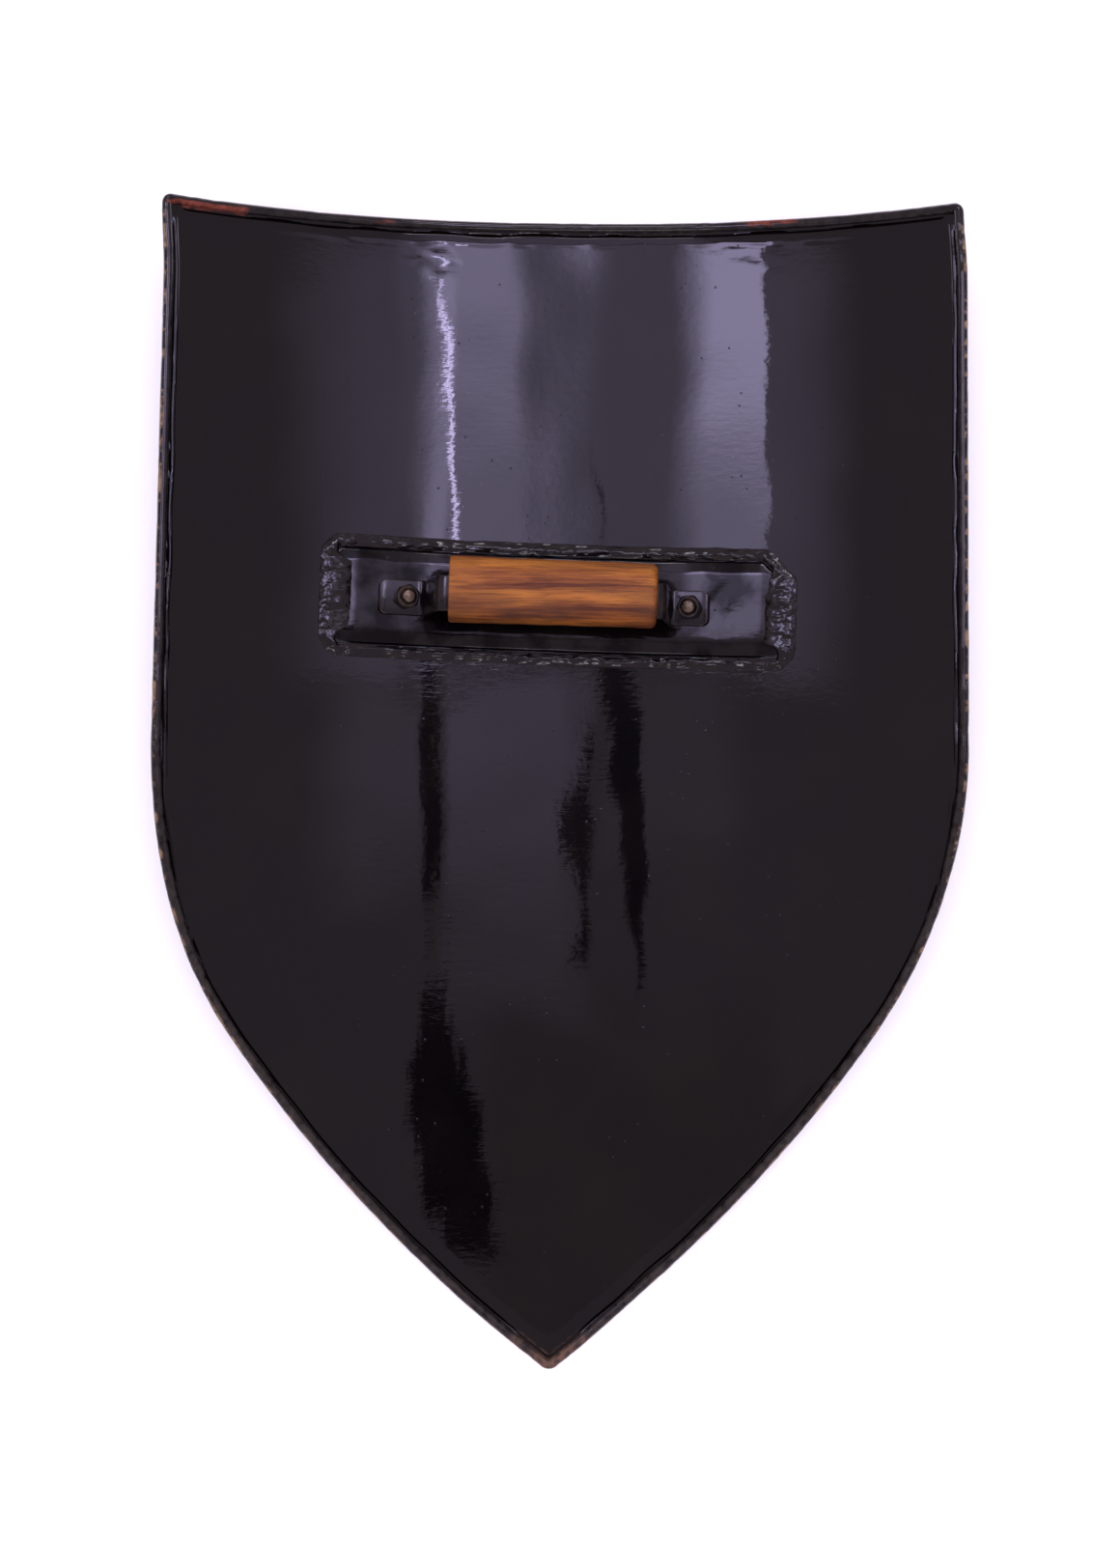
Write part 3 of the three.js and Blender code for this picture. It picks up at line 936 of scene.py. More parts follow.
    def paint_masks(self, shell: Object) -> None:
        """Stores the edge distance and the primer patches as attributes that the enamel reads.

        Args:
            shell: The shell's mesh object.
        """
        mesh = shell.data
        x, y, z = vertex_places(mesh).T
        flat = self.bend.flat_half
        angle = np.arctan2(np.maximum(np.abs(x) - flat, 0.0), self.bend.front_radius - z)
        turned = angle * (self.bend.front_radius - self.bend.roll_radius)
        across = np.sign(x) * (np.minimum(np.abs(x), flat) + turned) - self.sway(y)
        inside = self.outline.edge_distance(across, y, 0.6)
        primer = np.zeros_like(x)
        ragged = 1.6 * SmoothField(9.0, 31).at(across, y)
        down = self.outline.top_y - y + 0.25 * ragged
        for patch in self.patches:
            slanted = across + patch.slant * (down - patch.near) + 0.5 * ragged
            stretch = smooth_step(patch.start, patch.start + 1.0, slanted)
            stretch = stretch * smooth_step(patch.end, patch.end - 1.0, slanted)
            band = smooth_step(patch.near - 0.3, patch.near + 0.3, down)
            band = band * smooth_step(patch.far, patch.far - 0.5, down)
            primer = np.maximum(primer, stretch * band)
        from_tip = np.hypot(across, y + self.outline.top_y)
        worn = smooth_step(34.0, 8.0, from_tip + 4.0 * ragged) * smooth_step(9.0, 6.0, inside)
        for name, values in (("inside", inside), ("worn", worn), ("primer", primer)):
            store(mesh, name, values)


# ---- The plate and its weld ----------------------------------------------------------------------


@dataclass(frozen=True)
class Fitting:
    """The crooked frame of the grip fitting: its middle on the blank and its turn."""

    middle_y: float = 108.6
    turn: float = math.radians(-1.4)

    def on_blank(self, x: Array, y: Array) -> tuple[Array, Array]:
        """Turns and moves points of the fitting to the blank.

        Args:
            x: Along the strap.
            y: Across the strap.

        Returns:
            Their places across and along the blank.
        """
        cos, sin = math.cos(self.turn), math.sin(self.turn)
        return x * cos - y * sin, x * sin + y * cos + self.middle_y

    def in_space(self, points: Array) -> Array:
        """Turns and moves points of the fitting's own space to the shield's.

        Args:
            points: Points with their coordinates along the last axis.

        Returns:
            The moved points.
        """
        x, y = self.on_blank(points[..., 0], points[..., 1])
        return np.stack([x, y, points[..., 2]], axis=-1)


@dataclass
class BackingPlate:
    """The flat-bar plate under the strap, bent to the shell, with hammered-down margins and small dents."""

    bend: SheetBend
    fitting: Fitting
    low: float = 1.8
    high: float = 4.8
    length: float = 262.0
    width: float = 55.0
    chamfer: float = 13.0
    step: float = 1.6
    edge_round: float = 1.1
    margin_depths: tuple[float, float] = (1.5, 1.0)
    end_depth: float = 1.3
    wave_heights: tuple[float, float] = (0.11, 0.035)
    dip_depths: tuple[float, float] = (0.25, 0.2)

    @property
    def ease(self) -> float:
        """How much the other three corners are eased."""
        return self.chamfer / 3

    def limits(self, x: Array) -> tuple[Array, Array]:
        """Gives the plate's lower and upper edge at places along it.

        Args:
            x: Distance from the plate's middle.

        Returns:
            The two edges.
        """
        half, side = self.length / 2, self.width / 2
        eased = np.maximum(np.abs(x) - (half - self.ease), 0.0)
        cut = np.maximum(x - (half - self.chamfer), 0.0)
        upper = side - np.where(x > 0, cut, eased)
        return -side + eased, upper

    def loop(self) -> list[tuple[float, float]]:
        """Gives the plate's corners, anticlockwise from the lower left."""
        half, side, ease, cut = self.length / 2, self.width / 2, self.ease, self.chamfer
        return [
            (-half + ease, -side),
            (half - ease, -side),
            (half, -side + ease),
            (half, side - cut),
            (half - cut, side),
            (-half + ease, side),
            (-half, side - ease),
            (-half, -side + ease),
        ]

    def top_relief(self, x: Array, y: Array) -> Array:
        """Gives the dents and the hammered-down margins of the upper face.

        Args:
            x: Distance from the plate's middle, along it.
            y: Distance from the plate's middle, across it.

        Returns:
            Heights above the even upper face.
        """
        half, side = self.length / 2, self.width / 2
        wander = 0.35 * SmoothField(26.0, 43).along(x)
        margins = -self.margin_depths[0] * smooth_step(-side + 9.0, -side + 1.0, y + wander)
        margins = margins - self.margin_depths[1] * smooth_step(side - 7.0, side - 2.0, y + wander)
        ends = -self.end_depth * smooth_step(half - 17.0, half - 2.0, np.abs(x))
        waves = self.wave_heights[0] * SmoothField(34.0, 41).at(x, y)
        waves = waves + self.wave_heights[1] * SmoothField(24.0, 42).at(x, y)
        left_dip = -self.dip_depths[0] * np.exp(-(((x + 106) / 6) ** 2) - (((y - 8) / 7) ** 2))
        right_dip = -self.dip_depths[1] * np.exp(-(((x - 90 - 0.4 * y) / 5.0) ** 2) - (((y - 9) / 8) ** 2))
        return margins + ends + waves + left_dip + right_dip

    def build(self) -> Object:
        """Makes the plate's closed mesh with rounded upper edges.

        Returns:
            The plate, at the origin.
        """
        half = self.length / 2
        even = np.linspace(-half, half, round(self.length / self.step))
        columns = np.array(sorted({*even, -half + self.ease, half - self.ease, half - self.chamfer}))
        count = round(self.width / self.step)
        shares = np.linspace(0.0, 1.0, count)
        lower, upper = self.limits(columns)
        x = np.repeat(columns[:, None], count, axis=1)
        y = lower[:, None] + (upper - lower)[:, None] * shares[None, :]
        to_side = np.minimum(y - lower[:, None], upper[:, None] - y)
        to_end = half - np.abs(x)
        inside = np.minimum(to_side, to_end)
        rounding = self.edge_round * (1 - np.sqrt(1 - np.clip(1 - inside / self.edge_round, 0, 1) ** 2))
        top = self.high + self.top_relief(x, y) - rounding
        across, along = self.fitting.on_blank(x, y)
        skin = Skin()
        under = skin.add(self.bend.place(across, along, np.full_like(x, self.low)))
        over = skin.add(self.bend.place(across, along, top))
        skin.bridge(under)
        skin.bridge(over)
        rim = [
            np.concatenate([grid[:, 0], grid[-1, 1:], grid[-2::-1, -1], grid[0, -2:0:-1]])
            for grid in (under, over)
        ]
        skin.bridge(np.array(rim), closed=True)
        return skin.to_object("backing_plate_enamelled", 60.0)


@dataclass
class WeldBead:
    """The lumpy weld round the plate: a swept section that Geometry Nodes roughen and spatter."""

    bend: SheetBend
    fitting: Fitting
    plate: BackingPlate
    step: float = 1.5
    lump_size: float = 3.6
    lump_height: float = 1.0
    pit_size: float = 1.5
    pit_height: float = 0.3
    stretch: float = 0.22
    spatter_radius: float = 0.4
    spatter_scale: tuple[float, float] = (0.45, 1.35)
    spatter_density: float = 800.0
    rough_from: float = 16.0
    rough_full: float = 11.0
    seed: int = 7

    def path(self) -> tuple[Array, Array]:
        """Walks round the plate's edge in even steps.

        Returns:
            Points on the edge and their outward normals, in the fitting's frame.
        """
        corners = [np.array(corner) for corner in self.plate.loop()]
        points, normals = [], []
        for start, end in zip(corners, corners[1:] + corners[:1]):
            run = end - start
            length = float(np.linalg.norm(run))
            outward = np.array([run[1], -run[0]]) / length
            for share in np.arange(0.0, 1.0, 1.0 / max(2, round(length / self.step))):
                points.append(start + run * share)
                normals.append(outward)
        normals = np.array(normals)
        for _ in range(6):
            normals = normals + np.roll(normals, 1, axis=0) + np.roll(normals, -1, axis=0)
            normals /= np.linalg.norm(normals, axis=1, keepdims=True)
        return np.array(points), normals

    def section(self, share_end: Array, uneven: Array) -> tuple[Array, Array]:
        """Gives the bead's section at each station: over the plate's edge, a valley, a crest and the toe.

        Args:
            share_end: 1 at the plate's two ends, where the weld runs over the plate, 0 along its sides.
            uneven: How much bigger or smaller the weld is at each station.

        Returns:
            Distances out from the plate's edge and heights, one row for each station.
        """
        side_reach = np.array([0.2, 0.25, 0.4, 0.9, 1.6, 2.4, 3.3, 4.3, 5.4, 6.6, 7.8, 7.8, 4.0])
        side_level = np.array([1.9, 2.6, 3.4, 3.5, 4.0, 4.7, 4.9, 4.5, 3.7, 2.9, 2.1, 1.6, 1.6])
        end_reach = np.array([0.2, 0.25, -5.0, -12.5, -9.5, -6.0, -2.0, 1.5, 3.6, 5.6, 7.4, 7.4, 4.0])
        end_level = np.array([1.9, 3.2, 3.4, 3.8, 4.7, 5.1, 5.0, 4.9, 4.3, 3.3, 2.1, 1.6, 1.6])
        mix = share_end[:, None]
        reach = side_reach * (1 - mix) + end_reach * mix
        level = side_level * (1 - mix) + end_level * mix
        free = np.array([0, 0, 0, 0, 0.3, 1, 1, 1, 1, 0.7, 0.2, 0, 0])
        level = 1.7 + (level - 1.7) * (1 + 0.16 * uneven[:, None] * free)
        reach = reach + 0.5 * np.roll(uneven, 7)[:, None] * free
        return reach, level

    def sweep(self) -> Object:
        """Makes the plain bead that the lumps are raised on.

        Returns:
            The swept bead, at the origin.
        """
        points, normals = self.path()
        pace = np.arange(len(points)) * self.step
        uneven = 0.8 * SmoothField(26.0, 51).along(pace) + 0.6 * SmoothField(9.0, 52).along(pace)
        half = self.plate.length / 2
        share_end = smooth_step(half - 9.0, half - 2.0, np.abs(points[:, 0]))
        share_end = share_end * smooth_step(27.0, 20.0, np.abs(points[:, 1]))
        reach, level = self.section(share_end, np.clip(uneven, -1.4, 1.4))
        x = points[:, :1] + normals[:, :1] * reach
        y = points[:, 1:] + normals[:, 1:] * reach
        across, along = self.fitting.on_blank(x, y)
        skin = Skin()
        index = skin.add(self.bend.place(across, along, level))
        ring = np.concatenate([index, index[:1]], axis=0)
        skin.bridge(ring, closed=True)
        bead = skin.to_object("weld_bead_painted", 180.0)
        finer = bead.modifiers.new("finer", "SUBSURF")
        finer.levels = finer.render_levels = 2
        return bead

    def tree(self, material: Material) -> NodeTree:
        """Builds the Geometry Nodes tree that raises lumps on the bead and scatters spatter along it.

        Args:
            material: The weld's finish.

        Returns:
            The tree, with named inputs for its sizes.
        """
        tree = bpy.data.node_groups.new("weld_lumps", "GeometryNodeTree")
        sizes = {
            "Lump Size": self.lump_size * MM,
            "Lump Height": self.lump_height * MM,
            "Pit Size": self.pit_size * MM,
            "Pit Height": self.pit_height * MM,
            "Smooth Within": (self.plate.length / 2 - self.rough_from) * MM,
            "Rough Beyond": (self.plate.length / 2 - self.rough_full) * MM,
            "Spatter Radius": self.spatter_radius * MM,
            "Spatter Density": self.spatter_density,
        }
        tree.interface.new_socket("Geometry", in_out="INPUT", socket_type="NodeSocketGeometry")
        for name, value in sizes.items():
            socket = tree.interface.new_socket(name, in_out="INPUT", socket_type="NodeSocketFloat")
            socket.default_value = value
        seed = tree.interface.new_socket("Seed", in_out="INPUT", socket_type="NodeSocketInt")
        seed.default_value = self.seed
        tree.interface.new_socket("Geometry", in_out="OUTPUT", socket_type="NodeSocketGeometry")
        given = add_node(tree, "NodeGroupInput").outputs
        place = add_node(tree, "GeometryNodeInputPosition").outputs[0]
        normal = add_node(tree, "GeometryNodeInputNormal").outputs[0]
        long_way = add_node(
            tree, "ShaderNodeVectorMath", {0: place, 1: (self.stretch, 1.0, 1.0)}, operation="MULTIPLY"
        ).outputs[0]
        reach = add_node(tree, "ShaderNodeSeparateXYZ", {0: place}).outputs[0]
        reach = maths(tree, "ABSOLUTE", reach)
        rough = ranged(tree, reach, given["Smooth Within"], given["Rough Beyond"])
        smooth_part = maths(tree, "SUBTRACT", 1.0, rough)

        def lumps(where: NodeSocket, share: NodeSocket, kind: str, detail: float) -> NodeSocket:
            """Makes one layer of lumps as an offset along the normal.

            Args:
                where: The coordinates of the noise.
                share: How strong the layer is from place to place.
                kind: What the inputs with the lumps' size and height start with.
                detail: How much finer noise they carry.

            Returns:
                The offset's length.
            """
            scale = maths(tree, "DIVIDE", 1.0, given[f"{kind} Size"])
            pattern = add_node(
                tree, "ShaderNodeTexNoise", {"Vector": where, "Scale": scale, "Detail": detail}
            ).outputs[0]
            centred = maths(tree, "SUBTRACT", pattern, 0.5)
            return product(tree, product(tree, centred, given[f"{kind} Height"]), share)

        total = lumps(long_way, smooth_part, "Lump", 1.0)
        for where, share, kind, detail in (
            (long_way, smooth_part, "Pit", 0.0), (place, rough, "Lump", 1.0), (place, rough, "Pit", 2.0)
        ):
            total = maths(tree, "ADD", total, lumps(where, share, kind, detail))
        offset = add_node(
            tree, "ShaderNodeVectorMath", {0: normal, "Scale": total}, operation="SCALE"
        ).outputs[0]
        raised = add_node(
            tree, "GeometryNodeSetPosition", {"Geometry": given["Geometry"], "Offset": offset}
        ).outputs[0]

        spots = add_node(
            tree,
            "GeometryNodeDistributePointsOnFaces",
            {"Mesh": raised, "Density": given["Spatter Density"], "Seed": given["Seed"]},
        )
        radius = given["Spatter Radius"]
        drop = add_node(tree, "GeometryNodeMeshIcoSphere", {"Radius": radius, "Subdivisions": 1}).outputs[0]
        sizes_drawn = add_node(
            tree,
            "FunctionNodeRandomValue",
            {2: self.spatter_scale[0], 3: self.spatter_scale[1], "Seed": given["Seed"]},
            data_type="FLOAT",
        ).outputs[1]
        drops = add_node(
            tree,
            "GeometryNodeInstanceOnPoints",
            {"Points": spots.outputs[0], "Instance": drop, "Scale": sizes_drawn},
        ).outputs[0]
        real = add_node(tree, "GeometryNodeRealizeInstances", {"Geometry": drops}).outputs[0]
        joined = add_node(tree, "GeometryNodeJoinGeometry")
        tree.links.new(real, joined.inputs[0])
        tree.links.new(raised, joined.inputs[0])
        smooth = add_node(
            tree, "GeometryNodeSetShadeSmooth", {"Geometry": joined.outputs[0], "Shade Smooth": True}
        ).outputs[0]
        wanted = {"Geometry": smooth, "Material": material}
        painted = add_node(tree, "GeometryNodeSetMaterial", wanted).outputs[0]
        add_node(tree, "NodeGroupOutput", {0: painted})
        return tree

    def build(self, material: Material) -> Object:
        """Sweeps the bead, runs the tree on it and keeps the result as a plain mesh.

        Args:
            material: The weld's finish.

        Returns:
            The weld, at the origin.
        """
        bead = self.sweep()
        return frozen(bead, self.tree(material))


# ---- Strap, grip and fasteners -------------------------------------------------------------------


@dataclass(frozen=True)
class Foot:
    """Places along the strap that shape one of its feet."""

    end: float
    bend: float
    bolt: float
    top: float


class Side(Enum):
    """The strap's two feet, as the grip side is seen, with how each nut happened to stop."""

    LEFT = ("left", Foot(-102.6, -76.5, -87.5, -67.0), 0.35)
    RIGHT = ("right", Foot(86.6, 63.5, 76.2, 59.5), 0.1)

    @property
    def label(self) -> str:
        """The side's name in the frame's nodes."""
        return self.value[0]

    @property
    def foot(self) -> Foot:
        """The foot on this side."""
        return self.value[1]

    @property
    def nut_turn(self) -> float:
        """How far this side's nut is turned, in radians."""
        return self.value[2]


@dataclass(frozen=True)
class StrapSeat:
    """How the strap's feet sit on the plate."""

    bend: SheetBend
    plate_high: float = 4.8
    gap: float = 0.3
    foot_ease: float = 1.3

    def frame(self, foot: Foot) -> tuple[Array, Array, Array, float, float]:
        """Finds a foot's seat on the plate.

        Args:
            foot: The foot.

        Returns:
            The bolt's place on the plate, the direction up out of it and along it, the slope and the lift.
        """
        radius = self.bend.front_radius - self.plate_high
        angle = math.asin((abs(foot.bolt) - self.bend.flat_half) / radius)
        height = self.bend.front_radius - radius * math.cos(angle)
        slope = math.copysign(angle, foot.bolt)
        lift = self.gap + self.foot_ease * (foot.end - foot.bend) ** 2 / (8 * self.bend.front_radius)
        normal = np.array([-math.sin(slope), math.cos(slope)])
        along = np.array([math.cos(slope), math.sin(slope)])
        return np.array([foot.bolt, height]), normal, along, slope, lift

    def at_bolt(self, points: Array, foot: Foot, fitting: Fitting) -> Array:
        """Moves points drawn about a bolt's own axis to their place on the shield.

        Args:
            points: Points with the bolt's axis along their third coordinate.
            foot: The foot that the bolt holds.
            fitting: The fitting's frame.

        Returns:
            The moved points.
        """
        seat, normal, along, _, _ = self.frame(foot)
        x = seat[0] + points[..., 0] * along[0] + points[..., 2] * normal[0]
        z = seat[1] + points[..., 0] * along[1] + points[..., 2] * normal[1]
        return fitting.in_space(np.stack([x, points[..., 1], z], axis=-1))


@dataclass
class GripStrap:
    """Flat bar bent into a bridge: two feet, two risers and the bar inside the grip."""

    seat: StrapSeat
    fitting: Fitting
    width: float = 20.0
    thickness: float = 3.0
    height: float = 50.0
    foot_radius: float = 4.5
    top_radius: float = 6.5
    corner_radius: float = 4.0
    edge_round: float = 0.9
    step: float = 1.0
    end_rows: tuple[float, float] = (0.15, 0.5)

    def path(self) -> Array:
        """Walks along the bar's middle plane from the left foot's end to the right one's.

        Returns:
            Points across and up, in even steps.
        """
        corners = []
        for foot, way in ((Side.LEFT.foot, 1), (Side.RIGHT.foot, -1)):
            place, normal, along, _, lift = self.seat.frame(foot)
            level = place + normal * (lift + self.thickness / 2)
            flat = [level + along * (x - foot.bolt) / along[0] for x in (foot.end, foot.bend)]
            corners += [*flat, np.array([foot.top, self.height])][::way]
        radii = [0.0, self.foot_radius, self.top_radius, self.top_radius, self.foot_radius, 0.0]
        points: list[Array] = []
        for i, (corner, radius) in enumerate(zip(corners, radii)):
            if radius == 0.0:
                points.append(corner)
                continue
            back = (corners[i - 1] - corner) / np.linalg.norm(corners[i - 1] - corner)
            ahead = (corners[i + 1] - corner) / np.linalg.norm(corners[i + 1] - corner)
            half = math.acos(float(back @ ahead)) / 2
            reach = radius / math.tan(half)
            for t in np.linspace(0.0, 1.0, 9):
                bent = (1 - t) ** 2 * (corner + back * reach) + 2 * t * (1 - t) * corner
                points.append(bent + t**2 * (corner + ahead * reach))
        line = np.array(points)
        pace = paces(line)
        even = np.linspace(0.0, pace[-1], round(pace[-1] / self.step))
        even = np.array(sorted({*even, *self.end_rows, *(pace[-1] - e for e in self.end_rows)}))
        return np.stack([np.interp(even, pace, line[:, k]) for k in range(2)], axis=-1)

    def build(self) -> Object:
        """Makes the strap's closed mesh, with its arrises eased and its feet's corners rounded.

        Returns:
            The strap, at the origin.
        """
        line = self.path()
        run = np.gradient(line, axis=0)
        run /= np.linalg.norm(run, axis=1, keepdims=True)
        normal = np.stack([-run[:, 1], run[:, 0]], axis=-1)
        pace = paces(line)
        to_end = np.minimum(pace, pace[-1] - pace)
        short = np.clip(self.corner_radius - to_end, 0.0, self.corner_radius)
        half_width = self.width / 2 - self.corner_radius + np.sqrt(self.corner_radius**2 - short**2)
        pinch = np.clip(self.edge_round - to_end, 0.0, self.edge_round)
        half_thick = self.thickness / 2 - self.edge_round + np.sqrt(self.edge_round**2 - pinch**2)
        angles = np.concatenate([np.linspace(q, q + math.pi / 2, 5) for q in np.arange(4) * math.pi / 2])
        signs = np.repeat([[1, 1], [-1, 1], [-1, -1], [1, -1]], 5, axis=0)
        rings = []
        for place, up, wide, thick in zip(line, normal, half_width, half_thick):
            side = signs[:, 0] * (wide - self.edge_round) + self.edge_round * np.cos(angles)
            rise = signs[:, 1] * (thick - self.edge_round) + self.edge_round * np.sin(angles)
            x = place[0] + up[0] * rise
            z = place[1] + up[1] * rise
            rings.append(np.stack([x, side, z], axis=-1))
        skin = self.fitting.in_space(np.array(rings))
        return wrapped(skin, "grip_strap_enamelled", 50.0, skin[[0, -1]].mean(axis=1))


def rounded_box(count: int, half_width: Array | float, half_height: Array | float, power: float) -> Array:
    """Gives a rounded rectangle about the origin.

    Args:
        count: How many points it has.
        half_width: Half its width, even or one for each point.
        half_height: Half its height, even or one for each point.
        power: 1 gives an ellipse and 0 a sharp rectangle.

    Returns:
        Points across and up.
    """
    angles = np.linspace(0.0, 2 * math.pi, count, endpoint=False)
    cos, sin = np.cos(angles), np.sin(angles)
    side = half_width * np.sign(cos) * np.abs(cos) ** power
    rise = half_height * np.sign(sin) * np.abs(sin) ** power
    return np.stack([side, rise], axis=-1)


@dataclass
class WoodGrip:
    """The wooden grip: a rounded square bar with a slot for the strap, cut off square on the left."""

    fitting: Fitting
    left: float = -61.0
    right: float = 55.4
    across: float = 2.6
    level: float = 50.0
    width: tuple[float, float] = (37.4, 35.8)
    depth: tuple[float, float] = (34.4, 33.0)
    squareness: float = 2.6
    left_ease: float = 1.1
    right_ease: float = 3.4
    whittling: float = 0.16
    whittled_span: tuple[float, float] = (17.0, 110.0)
    slot_half: tuple[float, float] = (10.3, 1.8)
    slot_power: float = 0.3
    sides: int = 96

    def ring(self, share: float, shrink: float) -> Array:
        """Gives one cross-section of the grip.

        Args:
            share: 0 at the left end and 1 at the right one.
            shrink: How far it is drawn in from the full size.

        Returns:
            Points across and up.
        """
        half_width = (self.width[0] * (1 - share) + self.width[1] * share) / 2 - shrink
        half_depth = (self.depth[0] * (1 - share) + self.depth[1] * share) / 2 - shrink
        reach, run = self.whittled_span
        round_way = np.linspace(0.0, 2 * math.pi, self.sides, endpoint=False) * reach
        long_way = np.full_like(round_way, share * run)
        whittled = self.whittling * SmoothField(20.0, 61).at(round_way, long_way)
        box = rounded_box(self.sides, half_width + whittled, half_depth + whittled, 2 / self.squareness)
        return box + np.array([self.across, self.level])

    def build(self) -> Object:
        """Makes the grip's closed mesh with its through slot.

        Returns:
            The grip, at the origin.
        """
        turns = np.linspace(math.pi / 2, 0.0, 7)
        ends = [
            [(end + ease * (1 - math.sin(a)), abs(ease) * (1 - math.cos(a))) for a in turns]
            for end, ease in ((self.left, self.left_ease), (self.right, -self.right_ease))
        ]
        body = [(float(x), 0.0) for x in np.linspace(self.left + 4.0, self.right - 5.0, 34)]
        length = self.right - self.left
        stations = [
            (x, self.ring((x - self.left) / length, shrink)) for x, shrink in ends[0] + body + ends[1][::-1]
        ]
        slot = rounded_box(self.sides, *self.slot_half, self.slot_power) + np.array([0.0, self.level])
        outer = [np.column_stack([np.full(self.sides, x), ring]) for x, ring in stations]
        closing = [
            [np.column_stack([np.full(self.sides, x), part]) for part in (slot, (ring + slot) / 2)]
            for x, ring in (stations[0], stations[-1])
        ]
        rings = [*closing[0], *outer, *closing[1][::-1], closing[0][0]]
        return wrapped(self.fitting.in_space(np.array(rings)), "wood_grip_oiled", 38.0)


@dataclass
class BoltSet:
    """One bolt and nut of the strap: a round head on the front, a painted nut and a worn threaded end."""

    side: Side
    seat: StrapSeat
    fitting: Fitting
    strap_thickness: float = 3.0
    bolt_radius: float = 4.0
    head_radius: float = 9.0
    head_height: float = 3.6
    stick_out: float = 3.4
    nut_height: float = 6.5
    across_flats: float = 13.0
    corner_wear: float = 0.35
    hole_gap: float = 0.1
    head_edge: float = 0.2
    dome_share: float = 0.94
    thread_depth: float = 0.42
    pitch: float = 1.25
    sides: int = 72

    @property
    def angles(self) -> Array:
        """Angles of the points in each ring."""
        return np.linspace(0.0, 2 * math.pi, self.sides, endpoint=False)

    def levels(self) -> tuple[float, float]:
        """Gives where the nut starts and where the head starts, above the plate's upper face."""
        lift = self.seat.frame(self.side.foot)[4]
        return lift + self.strap_thickness + self.seat.gap, -self.seat.plate_high - self.seat.gap

    def turned(self, steps: list[tuple[Array | float, float]], turn: float) -> Array:
        """Gives rings about the bolt's axis.

        Args:
            steps: Each ring's radius, even or one for each side, and its height.
            turn: How far the rings are turned, in radians.

        Returns:
            Points in space, one row for each ring.
        """
        angles = self.angles + turn
        rings = []
        for reach, level in steps:
            radius = np.broadcast_to(reach, angles.shape)
            ring = [radius * np.cos(angles), radius * np.sin(angles), np.full_like(angles, level)]
            rings.append(np.stack(ring, axis=-1))
        return self.seat.at_bolt(np.array(rings), self.side.foot, self.fitting)

    def build_nut(self) -> Object:
        """Makes the nut: a hexagon with turned-off corners and its hole.

        Returns:
            The nut, at the origin.
        """
        start, _ = self.levels()
        from_flat = (self.angles % (math.pi / 3)) - math.pi / 6
        corner_cap = self.across_flats / math.sqrt(3) - self.corner_wear
        hexagon = np.minimum(self.across_flats / 2 / np.cos(from_flat), corner_cap)
        hole = self.bolt_radius + self.hole_gap
        top = self.nut_height
        steps = [(hole, 0.0), (hexagon - 0.5, 0.0), (hexagon, 0.5), (hexagon, top - 1.6)]
        for drop, cap in ((1.2, 7.25), (0.9, 6.95), (0.6, 6.65), (0.3, 6.3)):
            steps.append((np.minimum(hexagon, cap), top - drop))
        steps += [(5.9, top), (5.0, top), (hole, top - 0.7), (hole, 0.0)]
        rings = self.turned([(reach, level + start) for reach, level in steps], self.side.nut_turn)
        return wrapped(rings, f"nut_{self.side.label}_painted", 32.0)

    def build_bolt(self) -> Object:
        """Makes the bolt: head, shank, thread above the strap and a domed end, with its rubbed end marked.

        Returns:
            The bolt, at the origin.
        """
        nut_start, head_start = self.levels()
        end = nut_start + self.nut_height + self.stick_out
        rise = self.head_height * self.dome_share
        low = head_start - self.head_edge
        steps = []
        for share in np.linspace(0.06, 1.0, 12):
            steps.append((self.head_radius * share, low - rise * math.sqrt(max(0.0, 1 - share**2))))
        steps += [(self.head_radius, head_start), (self.bolt_radius, head_start)]
        for level in np.arange(nut_start, end - 1.9, self.pitch / 6):
            phase = (level / self.pitch - self.angles / (2 * math.pi)) % 1.0
            depth = self.thread_depth * 2.0 * np.abs(phase - 0.5)
            steps.append((self.bolt_radius - depth - 0.02, float(level)))
        steps.append((self.bolt_radius * 0.93, end - 1.7))
        for share in (0.78, 0.72, 0.64, 0.52, 0.36, 0.15):
            steps.append((self.bolt_radius * share, end - 1.2 * share**2.0))
        tops = np.array([[0.0, 0.0, low - rise], [0.0, 0.0, end]])
        caps = self.seat.at_bolt(tops, self.side.foot, self.fitting)
        bolt = wrapped(self.turned(steps, 0.0), f"bolt_{self.side.label}_worn", 40.0, caps)
        from_end = np.linalg.norm(vertex_places(bolt.data) - caps[1], axis=1)
        store(bolt.data, "rubbed", smooth_step(3.4, 2.9, from_end))
        return bolt


# ---- Finishes ------------------------------------------------------------------------------------


class Wear(Enum):
    """Which attributes of its own a piece's enamel reads for its wear."""

    NONE = "no wear"
    RIM = "rolled rim"
    EDGES = "rubbed edges"


